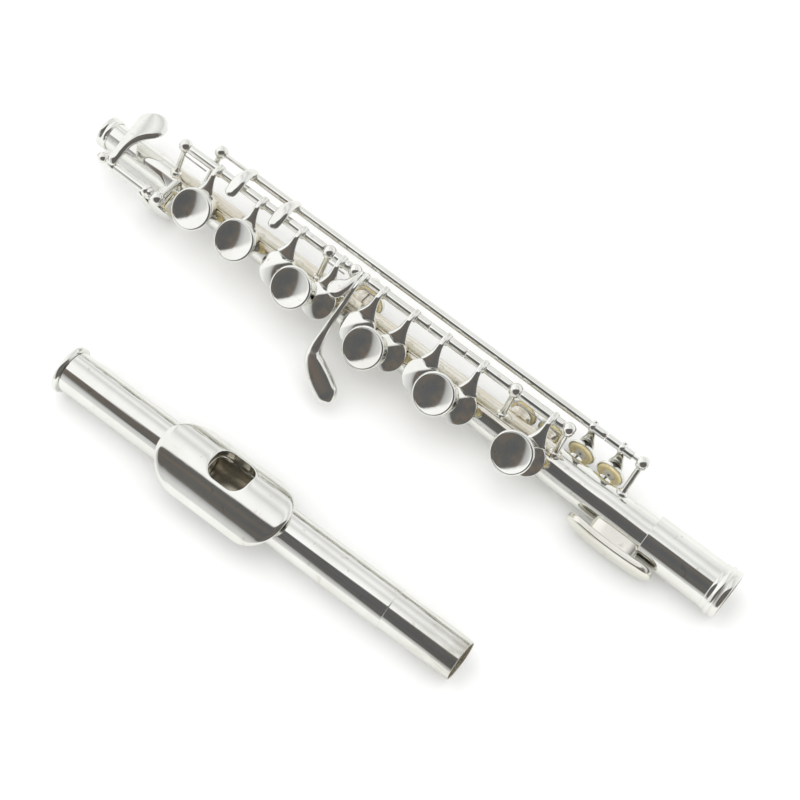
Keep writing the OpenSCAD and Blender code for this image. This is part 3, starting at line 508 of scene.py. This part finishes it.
def finger_keys():
    """Keys on the main rod: arms that flare to the rim of their cups."""
    ry, rz = rod_place(HOLE_A, ROD_A, ROD_D)
    flare = 4.65
    lift = lifted(HOLE_A, ROD_A, ROD_D, OPEN_A)
    for key, xs in FINGER_X.items():
        base = at(xs[0], HOLE_A) @ lift
        x0, x1 = [x - xs[0] for x in FINGER_TUBE[key]]
        shapes = [tube(base @ Matrix.Translation((x0, ry, rz)), TUBE_R, x1 - x0)]
        sh = ARM_SHIFT[key]
        for x in xs:
            m = base @ Matrix.Translation((x - xs[0], 0, 0))
            shapes.append(cup(m, CUP_R, SEAT))
            rows = [((0, 3.5, SEAT + 1.95), 0.5, 0.3), ((0, 4.0, SEAT + 1.9), 1.9, 0.34)]
            for t in (0.0, 0.12, 0.26, 0.42, 0.6, 0.78):
                y = flare + (ry - flare) * t
                rows.append(((sh * t, y, SEAT + 2.0 - 0.1 * (1 - t)), 0.75 + 2.3 * (1 - t) ** 2.2, 0.4))
            rows += [((sh, ry - 0.75, rz + 2.75), 0.8, 0.42), ((sh, ry + 0.45, rz + 2.05), 0.85, 0.42),
                     ((sh, ry + 1.45, rz + 0.95), 0.7, 0.4)]
            shapes.append(ribbon(m, rows, (1, 0, 0), 0.12, 0.95))
            shapes.append(bead(m @ Matrix.Translation((sh, ry, rz)), TUBE_R, 1.7))
        o = piece("key_metal_" + key, shapes, [plate])
        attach(o, key + "_key")
        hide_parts("key_" + key)


def trill_keys():
    """Trill keys: small open cups, long tubes on one rod and curved touches."""
    ry, rz = rod_place(TRILL_A, TRILL_ROD_A, TRILL_ROD_D)
    hy, hz = rod_place(0, TRILL_ROD_A, TRILL_ROD_D)
    turn = lifted(TRILL_A, TRILL_ROD_A, TRILL_ROD_D, TRILL_OPEN_A)
    low_tubes = ((60.2, 167.2, TRILL_TUBE_R),)
    high_tubes = ((33.4, 180.1, INNER_ROD_R), (44.3, 59.9, TRILL_TUBE_R), (167.5, 175.9, TRILL_TUBE_R))
    for key, touch, tubes in (("trill_low", 61.7, low_tubes), ("trill_high", 46.3, high_tubes)):
        m = at(TRILL_X[key], TRILL_A) @ turn
        s = TRILL_SEAT
        shapes = [cup(m, SMALL_CUP_R, s)]
        rows = [((0, ry - 1.1, rz + 0.9), 0.6, 0.4), ((0, ry - 0.3, rz + 1.4), 0.9, 0.45),
                ((0, ry + 1.3, rz + 1.5), 0.85, 0.45), ((0, ry + 4.0, s + 2.75), 1.0, 0.45),
                ((0, -6.0, s + 2.75), 1.35, 0.45), ((0, -2.6, s + 2.4), 2.3, 0.42), ((0, 0.4, s + 2.3), 1.6, 0.35)]
        shapes.append(ribbon(m, rows, (-1, 0, 0), 0.25, start=True))
        shapes.append(bead(m @ Matrix.Translation((0, ry, rz)), TRILL_TUBE_R, 1.5, 0.35))
        t = at(touch, 0)
        rows = [((0, hy + 1.2, hz + 0.3), 0.8, 0.4), ((0, hy + 0.35, hz + 1.75), 1.15, 0.5),
                ((0, hy - 1.6, hz + 3.5), 1.5, 0.45), ((0, hy - 4.2, 14.6), 1.85, 0.4),
                ((0, 4.6, 14.35), 1.95, 0.4), ((0, 2.9, 13.95), 1.8, 0.4)]
        shapes.append(ribbon(t, rows, (1, 0, 0), 0.25, 1.1, start=True, drop=0.6))
        shapes.append(bead(t @ Matrix.Translation((0, hy, hz)), TRILL_TUBE_R, 1.9, 0.3))
        for x0, x1, r in tubes:
            shapes.append(tube(at(x0, TRILL_ROD_A) @ Matrix.Translation((0, 0, TRILL_ROD_D)), r, x1 - x0))
        o = piece("key_metal_" + key, shapes, [plate])
        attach(o, key + "_key")
        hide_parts("key_" + key)


def e_flat_key():
    """E flat key with its teardrop touch."""
    ry, rz = rod_place(E_FLAT_A, E_FLAT_ROD_A, E_FLAT_ROD_D)
    hy, hz = rod_place(0, E_FLAT_ROD_A, E_FLAT_ROD_D)
    m = at(E_FLAT_X, E_FLAT_A)
    x0, x1 = 10.2 - E_FLAT_X, 26.4 - E_FLAT_X
    shapes = [cup(m, CUP_R, E_FLAT_SEAT), tube(m @ Matrix.Translation((x0, ry, rz)), TUBE_R, x1 - x0)]
    shapes.append(bead(m @ Matrix.Translation((x1 - 1.65, ry, rz)), TUBE_R, 1.5, 0.38))
    shapes.append(bead(m @ Matrix.Translation((x0 + 1.7, ry, rz)), TUBE_R, 2.6, 0.3))
    s = E_FLAT_SEAT
    rows = [((-3.6, ry - 0.1, rz + 0.7), 1.1, 0.42), ((-3.6, ry - 0.7, s + 1.9), 1.25, 0.45),
            ((-3.4, ry - 2.6, s + 2.2), 1.3, 0.45), ((-2.6, 2.4, s + 2.25), 1.5, 0.42),
            ((-1.6, 0.8, s + 2.3), 1.4, 0.36)]
    shapes.append(ribbon(m, rows, (1, 0, 0), 0.25))
    t = at(11.9, 0)
    rows = [((0, hy - 0.5, hz + 0.2), 1.2, 0.5), ((0, hy + 0.5, hz + 1.9), 1.45, 0.62),
            ((0, hy + 2.9, 9.0), 1.5, 0.65), ((0, -3.2, 9.8), 1.65, 0.65), ((0.2, -0.2, 9.95), 2.3, 0.62),
            ((0.5, 2.4, 9.6), 3.3, 0.6), ((0.9, 4.6, 9.1), 4.3, 0.55), ((1.1, 6.2, 8.7), 4.75, 0.5)]
    shapes.append(ribbon(t, rows, (1, 0, 0), 0.9, 1.5))
    o = piece("key_metal_e_flat", shapes, [plate])
    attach(o, "e_flat_key")
    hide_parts("key_e_flat")


def g_sharp_key():
    """G sharp key: its cup at the back, its long bent touch in front."""
    ry, rz = rod_place(G_SHARP_A, ROD_A, ROD_D)
    hy, hz = rod_place(0, ROD_A, ROD_D)
    m = at(G_SHARP_X, G_SHARP_A)
    shapes = [cup(m, CUP_R, SEAT), tube(m @ Matrix.Translation((-0.6, ry, rz)), TUBE_R, 1.4)]
    rows = [((0.1, ry + 0.2, rz + 0.7), 0.65, 0.42), ((0.1, ry + 1.9, rz + 2.0), 0.7, 0.44),
            ((0.1, -6.4, SEAT + 2.9), 0.7, 0.44), ((0.1, -3.6, SEAT + 2.35), 1.2, 0.4),
            ((0.1, -1.5, SEAT + 2.3), 0.9, 0.35)]
    shapes.append(ribbon(m, rows, (-1, 0, 0), 0.15))
    t = at(90.5, 0)
    slope = math.tan(math.radians(26))

    def low(x, y):
        """Point on the sloping plane that the end of the touch lies in."""
        return (x, y, 2.2 + slope * (y + 17.5))

    rows = [((0.2, hy + 0.9, hz + 0.7), 0.6, 0.4), ((0.2, hy - 0.6, hz + 1.75), 0.65, 0.5),
            ((0.2, hy - 4.4, hz + 1.9), 0.7, 0.5), ((0.2, -2.4, 11.2), 0.8, 0.5),
            ((0.1, -7.4, 8.7), 0.95, 0.52), ((-0.1, -11.5, 5.6), 1.25, 0.55),
            (low(0.1, -14.6), 1.8, 0.8), (low(1.1, -16.9), 2.45, 0.95), (low(3.2, -18.6), 3.05, 1.05),
            (low(6.4, -20.4), 3.4, 1.05), (low(9.5, -21.9), 3.25, 1.0)]

    def across(way):
        return Vector((-way.y, way.x, slope * way.x)).normalized()

    shapes.append(ribbon(t, rows, across, 0.2, 1.15, drop=0.75))
    shapes.append(bead(t @ Matrix.Translation((0.2, hy, hz)), TUBE_R, 1.3, 0.35))
    o = piece("key_metal_g_sharp", shapes, [plate])
    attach(o, "g_sharp_key")
    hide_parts("key_g_sharp")


def b_flat_lever():
    """Side lever with its curved touch."""
    hy, hz = rod_place(0, ROD_A, ROD_D)
    t = at(89.5, 0)
    shapes = [tube(t @ Matrix.Translation((-0.5, hy, hz)), TUBE_R, 1.0)]
    rows = [((-0.1, hy + 0.6, hz + 0.8), 0.42, 0.4), ((-0.1, hy - 0.4, hz + 1.8), 0.45, 0.45),
            ((-0.1, hy - 2.2, 14.1), 0.6, 0.45), ((-0.25, 2.6, 14.2), 1.2, 0.45), ((-0.7, 1.0, 14.1), 1.75, 0.42),
            ((-1.6, -0.5, 13.95), 2.4, 0.38), ((-2.2, -1.6, 13.8), 2.6, 0.34)]

    def across(way):
        return Vector((-way.y, way.x, 0)).normalized()

    shapes.append(ribbon(t, rows, across, 0.6, 1.0))
    o = piece("key_metal_b_flat_lever", shapes, [plate])
    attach(o, "b_flat_lever")
    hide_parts("lever_b_flat")


def finger_dishes():
    """Finger dishes with a hollow face and a rolled rim, each with the strap that carries it."""
    base, lift = SEAT + 2.62, lifted(HOLE_A, ROD_A, ROD_D, OPEN_A)
    rim = base + 2.1
    for key, (dx, dy) in DISH.items():
        m = at(FINGER_X[key][0], HOLE_A) @ lift @ Matrix.Translation((dx, dy, 0))
        rings = [(0.02, rim - 0.75)] + [(5.25 * k / 10, rim - 0.75 + 0.62 * (k / 10) ** 2) for k in range(1, 11)]
        rings += [(5.31, rim - 0.06), (5.4, rim - 0.01), (5.52, rim), (5.7, rim - 0.09), (5.88, rim - 0.26),
                  (6.02, rim - 0.48), (6.04, rim - 0.62), (5.9, rim - 0.78), (5.2, rim - 0.85), (4.2, rim - 1.15),
                  (2.8, base + 0.75), (1.5, base + 0.7), (1.25, base + 0.5), (1.2, base), (0.02, base)]
        shapes = [lathe(m, [(r, z, 0) for r, z in rings], 64)]
        for x in FINGER_X[key]:
            far = x - FINGER_X[key][0] - dx
            if abs(far) > 1:
                rows = [((far * fx, -dy * fy, base + 0.42), 1.2, 0.4) for fx, fy in ((0, 0.2), (0.4, 0.6), (0.72, 1))]
                shapes.append(ribbon(m, rows, (0, math.copysign(1, far), 0), 0.1, 0.3))
        o = piece("dish_metal_" + key, shapes, [plate])
        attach(o, key + "_key")
        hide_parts("dish_" + key)


def post_strap():
    """Long strap on the tube that the main posts stand on."""
    rows = []
    for x in (26.2, 60.0, 100.0, 140.0, 159.2):
        r = TUBE_FOOT_R + (TUBE_TOP_R - TUBE_FOOT_R) * x / TUBE_L
        rows.append(((x, 0, r + 0.1), 1.75, 0.22))
    o = piece("post_strap", [ribbon(at(0, 13.0), rows, (0, -1, 0), 0.0, 0.25, start=True)], [warm_plate])
    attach(o, "body")


def hand_rest():
    """Hand rest: a curved plate on a block."""
    m = at(184.4, -92.0)
    rows = []
    for x in (-9.3, -6.0, -2.0, 2.0, 6.0, 9.3):
        rows.append(((x, 0, 9.2 - x * x / 200.0), 4.05, 1.25))
    plate_shape = ribbon(m, rows, (0, -1, 0), 0.25, 1.0, start=True)
    rows = [((0, 0, 4.6), 7.3, 3.6), ((0, 0, 6.5), 7.3, 3.6), ((0, 0, 9.0), 7.3, 3.6)]
    block = ribbon(m, rows, (1, 0, 0), 0.0, 0.4, end=False)
    o = piece("hand_rest_metal", [plate_shape, block], [dull_plate])
    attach(o, "body")
    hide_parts("hand_rest")


def make_lip_plate():
    """Lip plate with a soft rim, its riser and the embouchure hole."""
    top, r_near, r_far, thick = 8.3, 12.4, 9.7, 0.8
    half, near, far, rnd = 20.3, -11.3, 9.6, 9.5
    tilt = math.radians(20)
    x_axis = HEAD_DIR
    y_axis = Vector((-HEAD_DIR.y, HEAD_DIR.x, 0))
    m = Matrix((x_axis, y_axis, Vector((0, 0, 1)))).transposed().to_4x4()
    m.translation = HEAD_FOOT + HEAD_DIR * 54.0
    place = Matrix.Diagonal((MM, MM, MM, 1)) @ m

    def flat(y):
        """Length along the curved face from its crest to the place over y."""
        r = r_near if y < 0 else r_far
        return r * math.asin(max(-1, min(1, y / r)))

    def face(x, s, drop=0.0):
        """Point on the face at length s from its crest, sunk by drop."""
        r = r_near if s < 0 else r_far
        t = s / r
        return Vector((x, (r - drop) * math.sin(t), top - r + (r - drop) * math.cos(t)))

    def mouth(f, g):
        """Point of the hole's rounded outline at angle f, grown by g."""
        w, d, r = 5.8 + g, 4.9 + g, 3.6 + g
        c, q = abs(math.cos(f)), abs(math.sin(f))
        k = min(w / max(c, 1e-9), d / max(q, 1e-9))
        if k * c > w - r and k * q > d - r:
            p0, p1 = w - r, d - r
            b = c * p0 + q * p1
            k = b + math.sqrt(max(0, b * b - (p0 * p0 + p1 * p1 - r * r)))
        return k * math.cos(f), k * math.sin(f)

    def shaft(u, v, s):
        """Point at (u, v) across the hole's leaning shaft and s along it."""
        return Vector((u, v * math.cos(tilt) + s * math.sin(tilt), s * math.cos(tilt) - v * math.sin(tilt)))

    def meets(u, v, drop):
        """Distance along the hole's shaft to the face sunk by drop."""
        lo, hi = 2.0, 12.0
        for _ in range(40):
            s = (lo + hi) / 2
            q = shaft(u, v, s)
            r, z0 = (r_near, top - r_near) if q.y < 0 else (r_far, top - r_far)
            if q.y * q.y + (q.z - z0) ** 2 < (r - drop) ** 2:
                lo = s
            else:
                hi = s
        return s

    def rim(f, c):
        """Distance from c to the plate's outline in direction f, both on the flattened face."""
        lo, hi = 0.0, 40.0
        for _ in range(40):
            k = (lo + hi) / 2
            x, s = c[0] + k * math.cos(f), c[1] + k * math.sin(f)
            if s > r_far * 1.5 or s < -r_near * 1.4:
                hi = k
                continue
            y = r_near * math.sin(s / r_near) if s < 0 else r_far * math.sin(s / r_far)
            ox, oy = abs(x) - (half - rnd), max(near + rnd - y, y - (far - rnd))
            inside = (ox <= rnd and oy <= rnd) and not (ox > 0 and oy > 0 and ox * ox + oy * oy > rnd * rnd)
            if inside:
                lo = k
            else:
                hi = k
        return lo

    # a column of points for each direction from the hole: riser, hole's wall, face, rim, underside
    count, tube_r = 176, 6.03
    rows = []
    centre = (0.0, flat(shaft(0, 0, meets(0, 0, 0)).y))
    for i in range(count):
        f = 2 * math.pi * i / count
        u, v = mouth(f, 0)
        q = shaft(u, v, meets(u, v, 0))
        a = Vector((q.x, flat(q.y)))
        fo = math.atan2(a.y - centre[1], a.x - centre[0])
        k = rim(fo, centre)
        b = Vector((centre[0] + k * math.cos(fo), centre[1] + k * math.sin(fo)))
        way = (b - a).normalized()
        span = (b - a).length
        u1, v1 = mouth(f, 1.0)
        low = math.sqrt(tube_r ** 2 - min(v * v, 36))
        low1 = math.sqrt(max(0.5, tube_r ** 2 - v1 * v1))
        over = meets(u, v, 0.45)
        col = [shaft(u1, v1, meets(u1, v1, thick - 0.1)), shaft(u1, v1, low1), shaft(u, v, low),
               shaft(u, v, (low + over) / 2), shaft(u, v, over)]
        for d, drop in ((0.04, 0.22), (0.14, 0.08), (0.3, 0.0)):
            e = a + way * d
            col.append(face(e.x, e.y, drop))
        for t in (0.1, 0.2, 0.32, 0.45, 0.58, 0.7, 0.8, 0.88):
            e = a + way * (0.3 + (span - 1.9) * t)
            col.append(face(e.x, e.y))
        for d, drop in ((1.6, 0.0), (1.2, 0.02), (0.9, 0.06), (0.65, 0.12), (0.42, 0.2), (0.22, 0.3),
                        (0.08, 0.42), (0.0, 0.58), (0.06, 0.74), (0.25, thick)):
            e = b - way * d
            col.append(face(e.x, e.y, drop))
        for t in (0.25, 0.5, 0.75):
            e = b - way * (0.25 + (span - 1.6) * t)
            col.append(face(e.x, e.y, thick))
        rows.append(col)
    n = len(rows[0])
    verts = [place @ q for col in rows for q in col]
    faces = []
    for i in range(count):
        j = (i + 1) % count
        for k in range(n):
            l = (k + 1) % n
            faces.append((i * n + k, i * n + l, j * n + l, j * n + k))
    o = piece("lip_plate_metal", [(verts, faces, [0] * len(faces))], [plate])
    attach(o, "head")
    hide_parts("lip_plate")


finger_keys()
trill_keys()
e_flat_key()
g_sharp_key()
b_flat_lever()
finger_dishes()
post_strap()
hand_rest()
make_lip_plate()


def make_pads():
    """Pads with their washers, each in the frame of its own cup."""
    finger = lifted(HOLE_A, ROD_A, ROD_D, OPEN_A)
    trill = lifted(TRILL_A, TRILL_ROD_A, TRILL_ROD_D, TRILL_OPEN_A)
    thumb = lifted(THUMB_A, THUMB_ROD_A, THUMB_ROD_D, THUMB_OPEN_A)
    big, small = CUP_R - SKIRT, SMALL_CUP_R - SKIRT
    # places, height of the pad's face, radius of the pad, radius of its washer
    cups = {k: ([at(x, HOLE_A) @ finger for x in xs], SEAT, big, 1.7) for k, xs in FINGER_X.items()}
    cups["g_sharp"] = ([at(G_SHARP_X, G_SHARP_A)], SEAT, big, 1.7)
    cups["e_flat"] = ([at(E_FLAT_X, E_FLAT_A)], E_FLAT_SEAT, big, 1.7)
    cups.update({k: ([at(x, TRILL_A) @ trill], TRILL_SEAT, small, 1.8) for k, x in TRILL_X.items()})
    cups.update({k: ([at(x, THUMB_A) @ thumb], SEAT, small, 1.5) for k, x in THUMB_X.items()})
    for key, (places, seat, r, w) in cups.items():
        face = [(0.02, 0.44), (w + 0.05, 0.44), (w + 0.07, 0.2), (w + 0.16, 0.09), (w + 0.4, 0.035)]
        mid = (w + 0.4 + r - 0.55) / 2
        face += [(mid - 0.3, 0.03), (mid, 0.07), (mid + 0.3, 0.03), (r - 0.55, 0.03), (r - 0.3, 0.08),
                 (r - 0.12, 0.2), (r - 0.03, 0.38), (r, 0.6), (r, 1.1), (r - 0.08, 1.35), (r - 0.25, PAD_T - 0.02),
                 (0.02, PAD_T - 0.02)]
        rings = [(a, seat + z, 0) for a, z in face]
        pad = turned("pad_skin_" + key, [(m, rings) for m in places], [skin])
        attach(pad, key + "_key")
        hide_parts("pad_" + key)
        disc = [(0.02, 0.14, 1), (0.28, 0.14, 1), (0.36, 0.2, 1), (0.42, 0.2, 0), (0.5, 0.13, 0),
                (w * 0.75, 0.15, 0), (w - 0.12, 0.2, 0), (w, 0.28, 0), (w, 0.4, 0), (0.02, 0.4, 0)]
        rings = [(a, seat + z, look) for a, z, look in disc]
        # the washer's pale face is a painted reflection of the white floor; its middle is the dark screw head
        washer = turned("washer_" + key, [(m, rings) for m in places], [washer_painted_reflection, dark_steel])
        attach(washer, key + "_key")


def make_stopper_face():
    """Metal face of the stopper, seen through the embouchure hole."""
    side = Vector((-HEAD_DIR.y, HEAD_DIR.x, 0))
    up = Vector((0, 0, 1))
    m = Matrix((side, up, HEAD_DIR)).transposed().to_4x4()
    m.translation = HEAD_FOOT + HEAD_DIR * CORK_END
    place = Matrix.Diagonal((MM, MM, MM, 1)) @ m
    r = HEAD_BORE - 0.08
    rings = [(0.02, 0.03, 0), (r - 0.1, 0.03, 0), (r, 0.12, 0), (r, 0.4, 0), (r - 0.15, 0.55, 0),
             (r * 0.8, 0.6, 0), (0.6, 0.62, 0), (0.5, 0.56, 0), (0.02, 0.56, 0)]
    face = turned("stopper_face", [(place, rings)], [plate])
    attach(face, "stopper")


make_pads()
make_stopper_face()


def make_world():
    """White room, and a dark stretch over the camera that only mirrors see."""
    to_left, to_front = (-0.7735, -0.634, 0), (0.634, -0.7735, 0)
    w = bpy.data.worlds.new("room")
    scene.world = w
    w.use_nodes = True
    nt = w.node_tree
    nt.nodes.clear()
    out = add(nt, "ShaderNodeOutputWorld")
    vec = add(nt, "ShaderNodeTexCoord").outputs["Generated"]
    left = vmath(nt, "DOT_PRODUCT", vec, to_left)[1]
    up = vmath(nt, "DOT_PRODUCT", vec, (0, 0, 1))[1]
    front = vmath(nt, "DOT_PRODUCT", vec, to_front)[1]

    def grey(v, warm=0.0):
        """Grey that shows as v of 255, a little warmer where asked."""
        c = (v / 255) ** 2.2
        return (c, c * (1 - warm), c * (1 - 2 * warm))

    def deg(d):
        """Place of an angle on the room's ramp."""
        return (d + 90) / 180

    # pale room, by the angle from straight up toward the left
    angle = math_node(nt, "ARCTAN2", left, up)
    turn = add(nt, "ShaderNodeMapRange")
    nt.links.new(angle, turn.inputs["Value"])
    turn.inputs["From Min"].default_value = -math.pi / 2
    turn.inputs["From Max"].default_value = math.pi / 2
    room = ramp(nt, turn.outputs[0], [
        (deg(-85), grey(250)), (deg(-60), grey(246)), (deg(-37), grey(220)), (deg(-16), grey(255)),
        (deg(-4), grey(224)), (deg(4), grey(250)), (deg(11), grey(262)), (deg(60), grey(262))])
    # dark stretch with brown and bluish clouds, and its pale lower side
    cloud = noise(nt, vec, 3.2, 4, 0.6)
    dark = ramp(nt, cloud, [(0.36, (0.108, 0.11, 0.115)), (0.5, (0.135, 0.127, 0.118)),
                            (0.64, (0.175, 0.142, 0.118))])
    slant = math_node(nt, "MULTIPLY_ADD", front, 0.83, up)
    lower = ramp(nt, slant, [(0.3, grey(250)), (0.5, grey(226)), (0.68, grey(212)), (0.79, grey(182)),
                             (0.83, grey(150))])
    deep = step(nt, slant, 0.815, 0.865)
    near = blend(nt, deep, lower, dark)
    ragged = math_node(nt, "MULTIPLY_ADD", noise(nt, vec, 14, 3, 0.6), 0.05, front)
    over = step(nt, ragged, 0.07, 0.115)
    warm = math_node(nt, "SUBTRACT", step(nt, ragged, 0.035, 0.075), over)
    sky = blend(nt, over, room, near)
    sky = blend(nt, math_node(nt, "MULTIPLY", warm, 0.25), sky, grey(190, 0.12))
    mirror = add(nt, "ShaderNodeBackground")
    nt.links.new(sky, mirror.inputs["Color"])
    fill = add(nt, "ShaderNodeBackground")
    fill.inputs["Color"].default_value = (1, 1, 1, 1)
    fill.inputs["Strength"].default_value = 1.07
    path = add(nt, "ShaderNodeLightPath")
    mix = add(nt, "ShaderNodeMixShader")
    nt.links.new(path.outputs["Is Glossy Ray"], mix.inputs[0])
    nt.links.new(fill.outputs[0], mix.inputs[1])
    nt.links.new(mirror.outputs[0], mix.inputs[2])
    white = add(nt, "ShaderNodeBackground")
    white.inputs["Color"].default_value = (1, 1, 1, 1)
    last = add(nt, "ShaderNodeMixShader")
    nt.links.new(path.outputs["Is Camera Ray"], last.inputs[0])
    nt.links.new(mix.outputs[0], last.inputs[1])
    nt.links.new(white.outputs[0], last.inputs[2])
    nt.links.new(last.outputs[0], out.inputs[0])


def make_floor():
    """Pale floor that keeps the shadow, a little darker in mirrors."""
    me = bpy.data.meshes.new("floor")
    s = 4.0
    me.from_pydata([(-s, -s, 0), (s, -s, 0), (s, s, 0), (-s, s, 0)], [], [(0, 1, 2, 3)])
    o = bpy.data.objects.new("floor", me)
    scene.collection.objects.link(o)
    mat = bpy.data.materials.new("floor")
    nt = tree(mat)
    out = add(nt, "ShaderNodeOutputMaterial")
    d = add(nt, "ShaderNodeBsdfDiffuse")
    seen = add(nt, "ShaderNodeLightPath").outputs["Is Glossy Ray"]
    nt.links.new(blend(nt, seen, (0.95, 0.95, 0.945), (0.84, 0.845, 0.825)), d.inputs["Color"])
    nt.links.new(d.outputs[0], out.inputs[0])
    me.materials.append(mat)


def make_lamps():
    """Two large soft lamps that neither the camera nor mirrors see."""
    for name, loc, size, power in (("key", (0.1, 0.25, 0.9), 0.9, 1.1), ("top", (-0.25, 0.0, 1.0), 0.9, 1.2)):
        la = bpy.data.lights.new(name, "AREA")
        la.shape = "DISK"
        la.size = size
        la.energy = power
        o = bpy.data.objects.new(name, la)
        scene.collection.objects.link(o)
        o.location = loc
        o.rotation_mode = "QUATERNION"
        o.rotation_quaternion = Vector(loc).to_track_quat("Z", "Y")
        o.visible_glossy = False
        o.visible_camera = False


make_world()
make_floor()
make_lamps()
